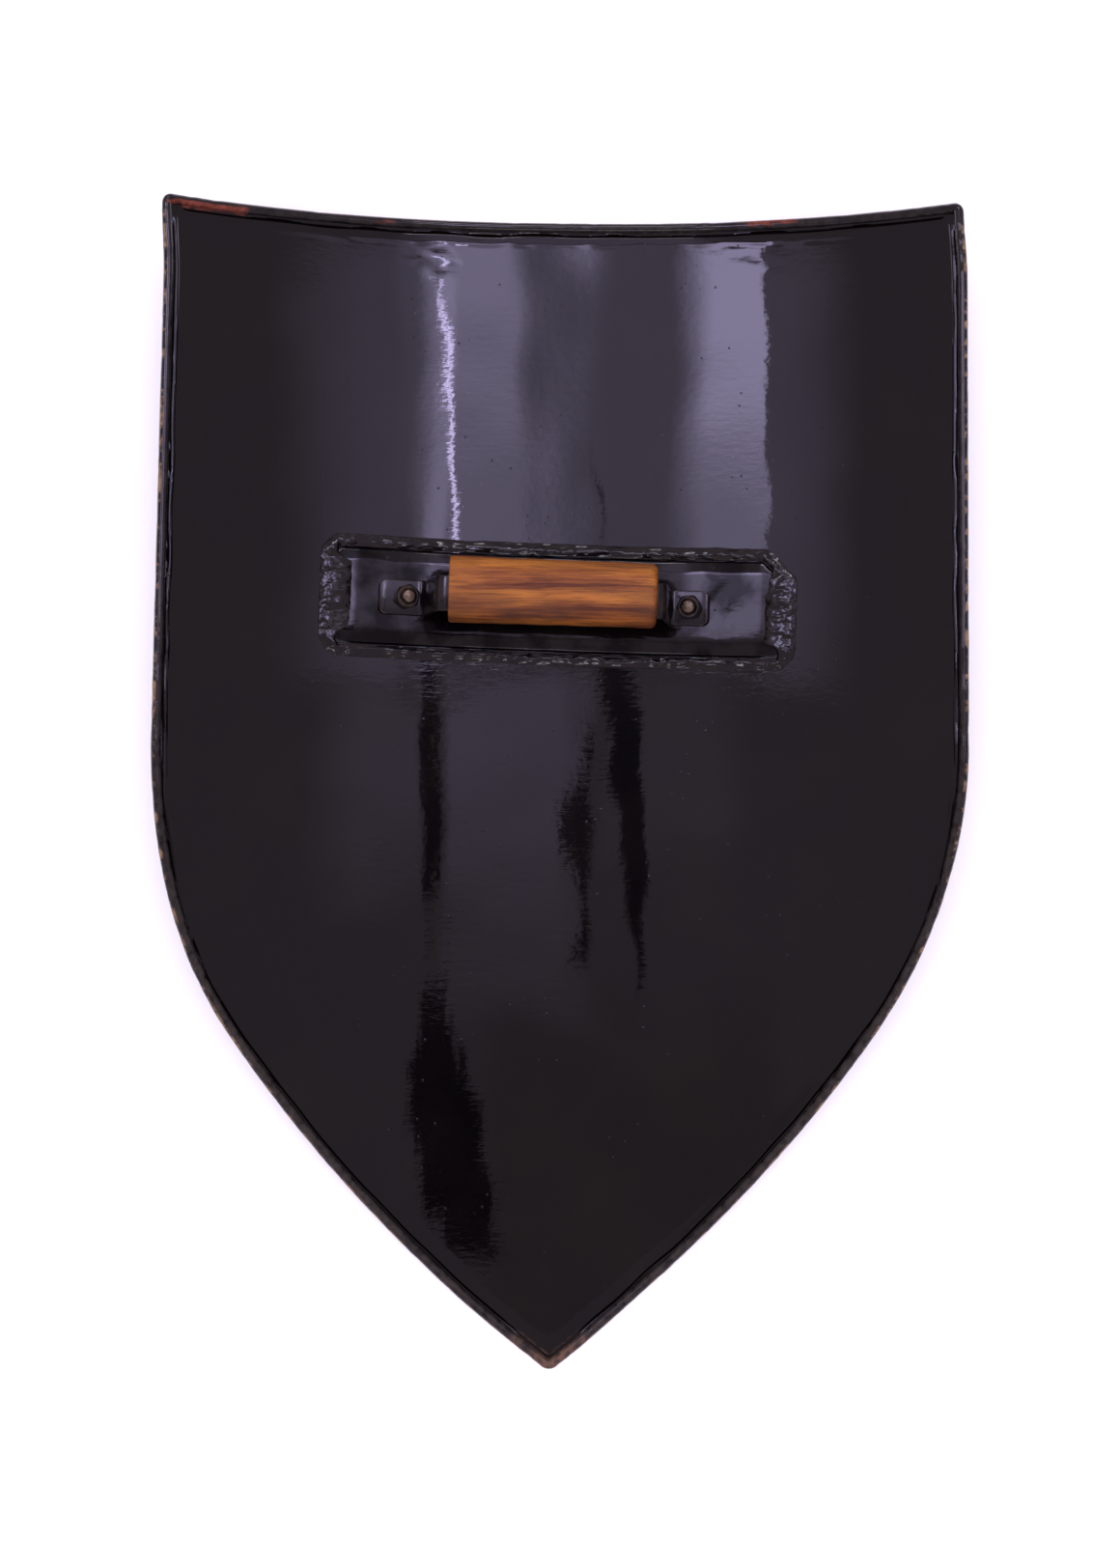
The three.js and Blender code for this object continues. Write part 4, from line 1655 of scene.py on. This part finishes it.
@dataclass(frozen=True)
class BrushedEnamel:
    """Black oil enamel laid on by brush over red primer: a clear gloss on a hazy base, with brush marks, dust
    nibs and, where asked for, dull patches, rubbed tan edges and places where the primer shows."""

    name: str
    black: str = "#020102"
    brown: str = "#070504"
    film: str = "#15100e"
    rubbed: str = "#6a5340"
    rim_dust: str = "#35302e"
    rim_rubbed: str = "#7a634d"
    tip_worn: str = "#5c463a"
    # Dark colour of the groove beside the roll: dirt and painted shade.
    slit_shade_and_dirt: str = "#050303"
    primer_dark: str = "#4a2219"
    primer_chalky: str = "#743d33"
    clear: float = 1.0
    dull_patches: float = 0.0
    haze: float = 0.36
    gloss: float = 0.028
    brush_depth: float = 0.02
    peel_depth: float = 0.016
    grain_depth: float = 0.002
    nib_depth: float = 0.08
    knock_depth: float = 0.035
    wear: Wear = Wear.NONE

    def make(self) -> Material:
        """Builds the material.

        Returns:
            The enamel.
        """
        material, tree = new_material(self.name)
        place = add_node(tree, "ShaderNodeTexCoord").outputs["Object"]
        cloud = noise(tree, place, 60.0, 4.0)
        colour = blended(tree, ranged(tree, cloud, 0.45, 0.75), self.black, self.brown)
        film = noise(tree, place, 2.4, 5.0, 0.8)
        colour = blended(tree, ranged(tree, film, 0.5, 0.8, 0.0, 0.15), colour, self.film)
        cells = {"Vector": place, "Scale": per_metre(6.5), "Randomness": 1.0}
        nibs = add_node(tree, "ShaderNodeTexVoronoi", cells)
        dots = ranged(tree, nibs.outputs["Distance"], 0.05, 0.11, 1.0, 0.0)
        sparse = ranged(tree, noise(tree, place, 23.0), 0.48, 0.56)
        nib = product(tree, dots, sparse)
        brushed = noise(tree, stretched(tree, place, (0.16, 1.0, 1.0), (0.0, 0.0, 0.16)), 2.6, 3.0, 0.6)
        peel = noise(tree, place, 4.6, 1.0)
        normal = bumped(tree, brushed, self.brush_depth)
        normal = bumped(tree, peel, self.peel_depth, normal)
        normal = bumped(tree, noise(tree, place, 1.3, 1.0), self.grain_depth, normal)
        normal = bumped(tree, nib, self.nib_depth, normal)
        smeared = noise(tree, stretched(tree, place, (0.5, 0.22, 1.0)), 24.0, 4.0, 0.62)
        roughness = ranged(tree, smeared, 0.35, 0.7, self.haze - 0.08, self.haze + 0.1)
        clear: NodeSocket | float = self.clear
        if self.dull_patches > 0.0:
            patches = noise(tree, place, 24.0, 3.0, 0.55)
            clear = ranged(tree, patches, 0.45, 0.6, self.clear, self.clear - self.dull_patches)
        if self.wear is Wear.EDGES:
            crest = add_node(tree, "ShaderNodeNewGeometry").outputs["Pointiness"]
            spots = ranged(tree, noise(tree, place, 8.0, 3.0), 0.45, 0.6)
            bare = product(tree, ranged(tree, crest, 0.53, 0.58), spots)
            colour = blended(tree, bare, colour, self.rubbed)
        if self.wear is Wear.RIM:
            colour, roughness, normal, clear = self.worn_rim(tree, place, colour, roughness, normal)
        return surfaced(
            material,
            tree,
            {
                "Base Color": colour,
                "Roughness": roughness,
                "IOR": 1.5,
                "Specular IOR Level": 0.05,
                "Normal": normal,
                "Coat Weight": clear,
                "Coat Roughness": self.gloss,
                "Coat IOR": 1.5,
                "Coat Normal": normal,
            },
        )

    def worn_rim(
        self,
        tree: NodeTree,
        place: NodeSocket,
        colour: NodeSocket,
        roughness: NodeSocket,
        normal: NodeSocket,
    ) -> tuple[NodeSocket, ...]:
        """Adds the primer patches, the rubbed outer edge, and the dirt and painted shade in the groove.

        Args:
            tree: The material's tree.
            place: Object coordinates.
            colour: The enamel's colour.
            roughness: Its roughness.
            normal: Its normal.

        Returns:
            The new colour, roughness and normal, and how much clear gloss is left.
        """
        inside, primer, worn = (
            add_node(tree, "ShaderNodeAttribute", attribute_name=name).outputs["Fac"]
            for name in ("inside", "primer", "worn")
        )
        dusty = ranged(tree, noise(tree, place, 5.0, 4.0), 0.3, 0.6)
        dusty = product(tree, ranged(tree, inside, 6.0, 5.2), dusty)
        # The lighter rim dust thins towards the top edge, so the rim is darker at the top than towards the
        # point.
        along = add_node(tree, "ShaderNodeSeparateXYZ", {0: place}).outputs[1]
        dusty = product(tree, dusty, ranged(tree, along, 60.0 * MM, -140.0 * MM, 0.3, 0.8))
        colour = blended(tree, dusty, colour, self.rim_dust)
        patchy = product(tree, worn, ranged(tree, noise(tree, place, 4.0, 4.0), 0.35, 0.6))
        colour = blended(tree, patchy, colour, self.tip_worn)
        rubbed = ranged(tree, noise(tree, place, 7.0, 4.0, 0.65), 0.5, 0.62)
        edge = ranged(tree, inside, 1.1, 0.3)
        tan = product(tree, rubbed, edge)
        colour = blended(tree, tan, colour, self.rim_rubbed)
        # The groove beside the roll is darkened: dirt and painted shade.
        groove = product(tree, ranged(tree, inside, 5.4, 5.9), ranged(tree, inside, 7.6, 6.9))
        colour = blended(tree, groove, colour, self.slit_shade_and_dirt)
        chalky = ranged(tree, noise(tree, place, 3.0, 3.0), 0.3, 0.7)
        red = blended(tree, chalky, self.primer_dark, self.primer_chalky)
        colour = blended(tree, primer, colour, red)
        dull = maths(tree, "MAXIMUM", product(tree, primer, 0.75), product(tree, tan, 0.6))
        roughness = maths(tree, "MAXIMUM", roughness, dull)
        knocks = noise(tree, place, 4.5, 2.0)
        on_rim = product(tree, knocks, ranged(tree, inside, 5.8, 5.0))
        dusted = ranged(tree, dusty, 0.25, 0.8, 0.0, 0.8)
        gone = maths(tree, "MAXIMUM", maths(tree, "MAXIMUM", dull, patchy), dusted)
        clear = maths(tree, "SUBTRACT", 1.0, gone)
        return colour, roughness, bumped(tree, on_rim, self.knock_depth, normal), clear


@dataclass(frozen=True)
class WeldPaint:
    """Thick enamel over rough weld metal: black and wet-looking on the crests, brown and dull in the dips."""

    name: str = "enamel_over_weld"
    black: str = "#080608"
    brown: str = "#1d140f"
    peel_depth: float = 0.018

    def make(self) -> Material:
        """Builds the material.

        Returns:
            The painted weld.
        """
        material, tree = new_material(self.name)
        place = add_node(tree, "ShaderNodeTexCoord").outputs["Object"]
        crest = add_node(tree, "ShaderNodeNewGeometry").outputs["Pointiness"]
        dips = ranged(tree, crest, 0.52, 0.44)
        blotch = ranged(tree, noise(tree, place, 9.0, 3.0), 0.42, 0.6)
        brown = product(tree, dips, blotch)
        colour = blended(tree, brown, self.black, self.brown)
        normal = bumped(tree, noise(tree, place, 1.3, 2.0), self.peel_depth)
        roughness = ranged(tree, noise(tree, place, 4.0), 0.3, 0.7, 0.16, 0.34)
        return surfaced(
            material,
            tree,
            {
                "Base Color": colour,
                "Roughness": roughness,
                "IOR": 1.5,
                "Specular IOR Level": 0.12,
                "Normal": normal,
                "Coat Weight": 1.0,
                "Coat Roughness": 0.1,
            },
        )


@dataclass(frozen=True)
class OiledHardwood:
    """Oiled tropical hardwood, sawn and rasped: fine straight grain along the grip, open pores and a satin
    sheen, with its lower side darkened by handling smudges and painted shade."""

    name: str = "oiled_hardwood"
    dark: str = "#451e0b"
    light: str = "#874d1c"
    golden: str = "#a06320"
    streak: str = "#37170b"
    # Colour of the lower side's handling smudges and painted shade.
    smudge: str = "#3a2016"
    middle_y: float = 111.0
    pore_depth: float = 0.06

    def make(self) -> Material:
        """Builds the material.

        Returns:
            The wood.
        """
        material, tree = new_material(self.name)
        place = add_node(tree, "ShaderNodeTexCoord").outputs["Object"]
        grain_way = stretched(tree, place, (0.05, 1.0, 1.0), (0.0, 0.0, 0.03))
        bands = noise(tree, grain_way, 3.4, 5.0, 0.66)
        fine = noise(tree, stretched(tree, place, (0.03, 1.0, 1.0), (0.0, 0.0, 0.03)), 0.9, 3.0, 0.7)
        colour = blended(tree, ranged(tree, bands, 0.35, 0.65), self.dark, self.light)
        golden = noise(tree, stretched(tree, place, (0.12, 1.0, 1.0)), 12.0, 2.0)
        colour = blended(tree, ranged(tree, golden, 0.48, 0.66, 0.0, 0.75), colour, self.golden)
        streak = ranged(tree, fine, 0.48, 0.6)
        colour = blended(tree, product(tree, streak, 0.5), colour, self.streak)
        # Darkens the grip's lower side: handling smudges and painted shade.
        along = add_node(tree, "ShaderNodeSeparateXYZ", {0: place}).outputs[1]
        low = ranged(tree, along, (self.middle_y + 4.0) * MM, (self.middle_y - 15.0) * MM)
        smudge = ranged(tree, noise(tree, stretched(tree, place, (0.3, 1.0, 1.0)), 13.0, 4.0), 0.4, 0.58)
        lower_side_smudge_and_shade = product(tree, low, smudge)
        colour = blended(tree, product(tree, lower_side_smudge_and_shade, 0.85), colour, self.smudge)
        pores = noise(tree, stretched(tree, place, (0.06, 1.0, 1.0)), 0.7, 2.0, 0.7)
        normal = bumped(tree, pores, self.pore_depth)
        roughness = ranged(tree, fine, 0.3, 0.7, 0.42, 0.58)
        return surfaced(
            material,
            tree,
            {
                "Base Color": colour,
                "Roughness": roughness,
                "IOR": 1.47,
                "Specular IOR Level": 0.3,
                "Normal": normal,
            },
        )


@dataclass(frozen=True)
class RubbedSteel:
    """Bolt steel with its paint rubbed off the end: dull brown-grey metal with black left in the thread."""

    name: str = "rubbed_bolt_steel"
    bare: str = "#7c6b5a"
    black: str = "#120e0d"

    def make(self) -> Material:
        """Builds the material.

        Returns:
            The steel.
        """
        material, tree = new_material(self.name)
        place = add_node(tree, "ShaderNodeTexCoord").outputs["Object"]
        rubbed = add_node(tree, "ShaderNodeAttribute", attribute_name="rubbed").outputs["Fac"]
        patchy = product(tree, rubbed, ranged(tree, noise(tree, place, 2.5, 3.0), 0.66, 0.5))
        paint = maths(tree, "SUBTRACT", 1.0, patchy)
        colour = blended(tree, paint, self.bare, self.black)
        metal = ranged(tree, paint, 0.0, 1.0, 0.85, 0.0)
        normal = bumped(tree, noise(tree, place, 0.8, 2.0), 0.04)
        roughness = ranged(tree, noise(tree, place, 3.0, 2.0), 0.3, 0.7, 0.26, 0.42)
        return surfaced(
            material,
            tree,
            {"Base Color": colour, "Metallic": metal, "Roughness": roughness, "Normal": normal},
        )


@dataclass(frozen=True)
class PaleFloor:
    """A plain matt white studio floor."""

    name: str = "pale_floor"
    white: str = "#f4f4f5"

    def make(self) -> Material:
        """Builds the material.

        Returns:
            The floor's paint.
        """
        material, tree = new_material(self.name)
        return surfaced(material, tree, {"Base Color": linear(self.white), "Roughness": 0.9, "IOR": 1.4})


# ---- Studio --------------------------------------------------------------------------------------


@dataclass(frozen=True)
class SoftPanel:
    """A soft rectangular light on the ceiling, in metres. A radiance below zero makes a dimmer place."""

    low: tuple[float, float]
    high: tuple[float, float]
    radiance: float
    soft: tuple[float, float, float, float] = (0.1, 0.1, 0.1, 0.1)
    lean: float = 0.0

    def glow(self, x: Array, y: Array) -> Array:
        """Gives how bright the panel is at places on the ceiling.

        Args:
            x: Distance to the right.
            y: Distance towards the top edge.

        Returns:
            Radiances.
        """
        left, right, near, far = self.soft
        upright = x - self.lean * (y - self.low[1])
        across = smooth_step(self.low[0], self.low[0] + left, upright)
        across = across * smooth_step(self.high[0], self.high[0] - right, upright)
        along = smooth_step(self.low[1], self.low[1] + near, y)
        along = along * smooth_step(self.high[1], self.high[1] - far, y)
        return self.radiance * across * along


@dataclass(frozen=True)
class Flag:
    """A torn black cloth on the ceiling, given by its left and right edge at a few levels, in metres."""

    levels: tuple[float, ...]
    left: tuple[float, ...]
    right: tuple[float, ...]
    soft: float = 0.03
    ragged: float = 0.012

    def cover(self, x: Array, y: Array) -> Array:
        """Gives how much of the light the cloth takes away.

        Args:
            x: Distance to the right.
            y: Distance towards the top edge.

        Returns:
            1 where it hangs and 0 beside it.
        """
        left, right = (np.interp(y, self.levels, side) for side in (self.left, self.right))
        inside = np.minimum(x - left, right - x) + self.ragged * SmoothField(0.06, 71).at(x, y)
        ends = smooth_step(self.levels[0] - 0.03, self.levels[0] + 0.03, y)
        ends = ends * smooth_step(self.levels[-1] + 0.03, self.levels[-1] - 0.03, y)
        return smooth_step(-self.soft / 2, self.soft / 2, inside) * ends


@dataclass(frozen=True)
class Lamp:
    """A big soft lamp that faces the shield, in metres. The gloss mirrors it if asked to."""

    name: str
    place: tuple[float, float, float]
    size: tuple[float, float]
    radiance: float
    mirrored: bool = True

    def hang(self, tint: tuple[float, float, float]) -> None:
        """Hangs the lamp where the camera doesn't see it.

        Args:
            tint: The light's colour.
        """
        data = bpy.data.lights.new(self.name, "AREA")
        data.shape = "RECTANGLE"
        data.size, data.size_y = self.size
        data.energy = self.radiance * math.pi * self.size[0] * self.size[1]
        data.color = tint
        lamp = placed(self.name, data)
        lamp.location = self.place
        lamp.rotation_euler = (-Vector(self.place)).to_track_quat("-Z", "Y").to_euler()
        lamp.visible_camera = False
        lamp.visible_glossy = self.mirrored


@dataclass
class Studio:
    """Floor, a ceiling of soft panels that only the gloss mirrors, two big lights and the camera."""

    hang: float = 2.5
    room: float = 0.37
    room_tint: tuple[float, float, float] = (1.0, 0.8, 0.96)
    panel_tint: tuple[float, float, float] = (1.12, 1.0, 1.62)
    cell: float = 0.0125
    ceiling_low: tuple[float, float] = (-2.7, -0.75)
    ceiling_high: tuple[float, float] = (2.4, 2.7)
    panels: tuple[SoftPanel, ...] = (
        SoftPanel((-1.38, 0.24), (-0.54, 1.04), 1.75, (0.03, 0.34, 0.06, 0.14)),
        SoftPanel((-1.37, 0.46), (-0.56, 1.04), 2.6, (0.03, 0.36, 0.3, 0.14)),
        SoftPanel((-2.70, 0.20), (-1.35, 1.04), 0.42, (1.3, 0.02, 0.1, 0.14)),
        SoftPanel((-0.85, 0.24), (0.06, 1.04), 0.5, (0.3, 0.1, 0.06, 0.14)),
        SoftPanel((-0.05, 0.24), (0.72, 1.04), 1.45, (0.16, 0.14, 0.06, 0.14)),
        SoftPanel((-0.16, 0.5), (0.90, 1.04), 1.25, (0.34, 0.2, 0.3, 0.14)),
        SoftPanel((0.44, 0.24), (0.98, 1.04), 1.2, (0.12, 0.4, 0.06, 0.14), 0.15),
        SoftPanel((0.80, 0.20), (2.40, 1.04), 0.42, (0.2, 1.3, 0.1, 0.14)),
        SoftPanel((0.310, 0.28), (0.355, 0.86), 11.0, (0.012, 0.012, 0.03, 0.16), 0.7),
        SoftPanel((-1.1, 1.1), (1.1, 2.7), 0.42, (0.5, 0.5, 0.1, 0.6)),
        SoftPanel((-0.12, -0.3), (0.62, 0.25), 0.46, (0.15, 0.1, 0.5, 0.05)),
        SoftPanel((-1.8, -0.75), (0.4, -0.1), -0.06, (0.5, 0.3, 0.05, 0.3)),
        SoftPanel((-1.3, -0.1), (-0.1, 0.25), 0.1, (0.5, 0.1, 0.2, 0.05)),
        SoftPanel((0.65, -0.2), (1.9, 0.25), 0.24, (0.1, 0.8, 0.3, 0.05)),
    )
    flags: tuple[Flag, ...] = (
        Flag(
            (-0.13, 0.0, 0.1, 0.26),
            (0.625, 0.612, 0.620, 0.620),
            (0.680, 0.688, 0.684, 0.680),
            0.014,
        ),
        Flag(
            (-0.19, -0.12, -0.04, 0.04, 0.12, 0.19, 0.26),
            (-0.37, -0.44, -0.46, -0.46, -0.41, -0.36, -0.13),
            (-0.35, -0.34, -0.31, -0.26, -0.16, -0.08, -0.05),
            0.014,
            0.014,
        ),
        Flag(
            (-0.12, -0.06, 0.0, 0.06, 0.1),
            (-0.09, -0.11, -0.11, -0.09, -0.06),
            (-0.07, -0.05, -0.03, -0.04, -0.05),
            0.012,
            0.022,
        ),
        Flag((0.43, 0.49, 0.53), (-0.086, -0.074, -0.062), (-0.070, -0.060, -0.054), 0.01, 0.003),
        Flag(
            (-0.57, -0.53, -0.46, -0.39, -0.33, -0.26, -0.18),
            (0.20, 0.18, 0.25, 0.33, 0.41, 0.42, 0.50),
            (0.50, 0.63, 0.69, 0.76, 0.79, 0.67, 0.56),
            0.025,
            0.035,
        ),
    )
    lamps: tuple[Lamp, ...] = (
        Lamp("overhead", (0.0, 0.0, 3.6), (6.0, 6.0), 2.9, False),
        Lamp("top_strip", (0.1, 2.5, 2.1), (1.6, 0.35), 6.0),
        Lamp("foot_strip", (-0.2, -2.5, 2.0), (1.2, 0.3), 5.0),
    )
    lamp_tint: tuple[float, float, float] = (0.92, 0.88, 1.0)
    floor_half: float = 9.0
    floor_level: float = -0.0002
    eye: tuple[float, float, float] = (0.0024, -0.0446, 1.75)
    aim: tuple[float, float, float] = (0.0024, 0.0054, 0.0)
    roll: float = math.radians(0.7)
    focal_length: float = 69.81
    sensor: float = 36.0

    def build_floor(self) -> None:
        """Lays the floor just under the shield."""
        mesh = bpy.data.meshes.new("floor")
        half, level = self.floor_half, self.floor_level
        corners = [(-half, -half, level), (half, -half, level), (half, half, level), (-half, half, level)]
        mesh.from_pydata(corners, [], [(0, 1, 2, 3)])
        mesh.materials.append(PaleFloor().make())
        floor = placed("floor", mesh)

    def build_world(self) -> None:
        """Fills the room with an even dim light."""
        world = bpy.data.worlds.new("studio")
        world.use_nodes = True
        tree = world.node_tree
        tree.nodes.clear()
        wanted = {"Color": (*self.room_tint, 1.0), "Strength": self.room}
        back = add_node(tree, "ShaderNodeBackground", wanted)
        add_node(tree, "ShaderNodeOutputWorld", {"Surface": back.outputs[0]})
        bpy.context.scene.world = world

    def build_ceiling(self) -> None:
        """Hangs the ceiling of soft panels and black cloths, which only mirrors see."""
        sides = [
            np.linspace(low, high, round((high - low) / self.cell))
            for low, high in zip(self.ceiling_low, self.ceiling_high)
        ]
        x, y = np.meshgrid(*sides, indexing="ij")
        glow = sum(panel.glow(x, y) for panel in self.panels)
        clear = np.ones_like(x)
        for flag in self.flags:
            clear = clear * (1.0 - flag.cover(x, y))
        tint = glow[..., None] * np.array(self.panel_tint) + self.room * np.array(self.room_tint)
        colours = np.concatenate([tint * clear[..., None], np.ones((*x.shape, 1))], axis=-1)
        skin = Skin()
        skin.bridge(skin.add(np.stack([x, y, np.full_like(x, self.hang)], axis=-1)))
        mesh = bpy.data.meshes.new("ceiling")
        mesh.from_pydata(np.concatenate(skin.vertices).tolist(), [], skin.faces)
        stored = mesh.attributes.new("glow", "FLOAT_COLOR", "POINT")
        stored.data.foreach_set("color", colours.reshape(-1).astype(np.float32))
        material, tree = new_material("soft_panels")
        glow_colour = add_node(tree, "ShaderNodeAttribute", attribute_name="glow").outputs["Color"]
        shine = add_node(tree, "ShaderNodeEmission", {"Color": glow_colour, "Strength": 1.0})
        add_node(tree, "ShaderNodeOutputMaterial", {"Surface": shine.outputs[0]})
        mesh.materials.append(material)
        ceiling = placed("ceiling", mesh)
        ceiling.visible_camera = ceiling.visible_diffuse = ceiling.visible_shadow = False

    def build_lights(self) -> None:
        """Hangs the big light overhead, which no gloss mirrors, and a strip beyond each end of the shield."""
        for lamp in self.lamps:
            lamp.hang(self.lamp_tint)

    def build_camera(self) -> None:
        """Sets the camera high over the shield, looking down on it and rolled a little."""
        place = Vector(self.eye)
        ahead = (Vector(self.aim) - place).normalized()
        right = ahead.cross(Vector((0.0, 1.0, 0.0))).normalized()
        up = right.cross(ahead)
        rolled_right = right * math.cos(self.roll) + up * math.sin(self.roll)
        rolled_up = up * math.cos(self.roll) - right * math.sin(self.roll)
        data = bpy.data.cameras.new("camera")
        data.sensor_width = self.sensor
        data.lens = self.focal_length
        data.clip_start, data.clip_end = 0.01, 50.0
        camera = placed("camera", data)
        turned = Matrix((rolled_right, rolled_up, -ahead)).transposed()
        camera.matrix_world = Matrix.Translation(place) @ turned.to_4x4()
        bpy.context.scene.camera = camera

    def build(self) -> None:
        """Builds the whole studio."""
        self.build_floor()
        self.build_world()
        self.build_ceiling()
        self.build_lights()
        self.build_camera()
        bpy.context.scene.view_settings.view_transform = "Standard"


# ---- The shield ----------------------------------------------------------------------------------


def main() -> None:
    """Builds the shield's pieces in order and reports each one."""
    logging.basicConfig(level=logging.INFO, format="%(message)s")
    bend = SheetBend()
    fitting = Fitting()
    _, shell_high = node_box("shell")
    seat = StrapSeat(bend)

    shell = EnamelledShell(bend, HeaterOutline(top_y=float(shell_high[1]))).build()
    dress(shell, BrushedEnamel("brushed_black_enamel", wear=Wear.RIM).make(), "shell_enamel", "shell")

    plate = BackingPlate(bend, fitting)
    plate_enamel = BrushedEnamel(
        "blotchy_black_enamel", dull_patches=0.6, haze=0.3, gloss=0.07, peel_depth=0.02
    )
    dress(plate.build(), plate_enamel.make(), "plate_enamel", "backing_plate")

    weld_paint = WeldPaint().make()
    dress(WeldBead(bend, fitting, plate).build(weld_paint), weld_paint, "weld_enamel", "weld_bead")

    strap_enamel = BrushedEnamel(
        "rubbed_black_enamel", black="#0e0b0d", haze=0.32, gloss=0.09, peel_depth=0.015, wear=Wear.EDGES
    )
    dress(GripStrap(seat, fitting).build(), strap_enamel.make(), "strap_enamel", "grip_strap")
    dress(WoodGrip(fitting).build(), OiledHardwood().make(), "grip_wood", "wood_grip")

    nut_enamel = BrushedEnamel(
        "chipped_black_enamel", black="#110d0c", rubbed="#4a3a2e", clear=0.3, haze=0.3, gloss=0.12,
        peel_depth=0.02, wear=Wear.EDGES,
    ).make()
    steel = RubbedSteel().make()
    for side in Side:
        bolt = BoltSet(side, seat, fitting)
        dress(bolt.build_nut(), nut_enamel, "fastener_steel", f"nut_{side.label}")
        dress(bolt.build_bolt(), steel, "fastener_steel", f"bolt_{side.label}")

    Studio().build()


if __name__ == "__main__":
    main()
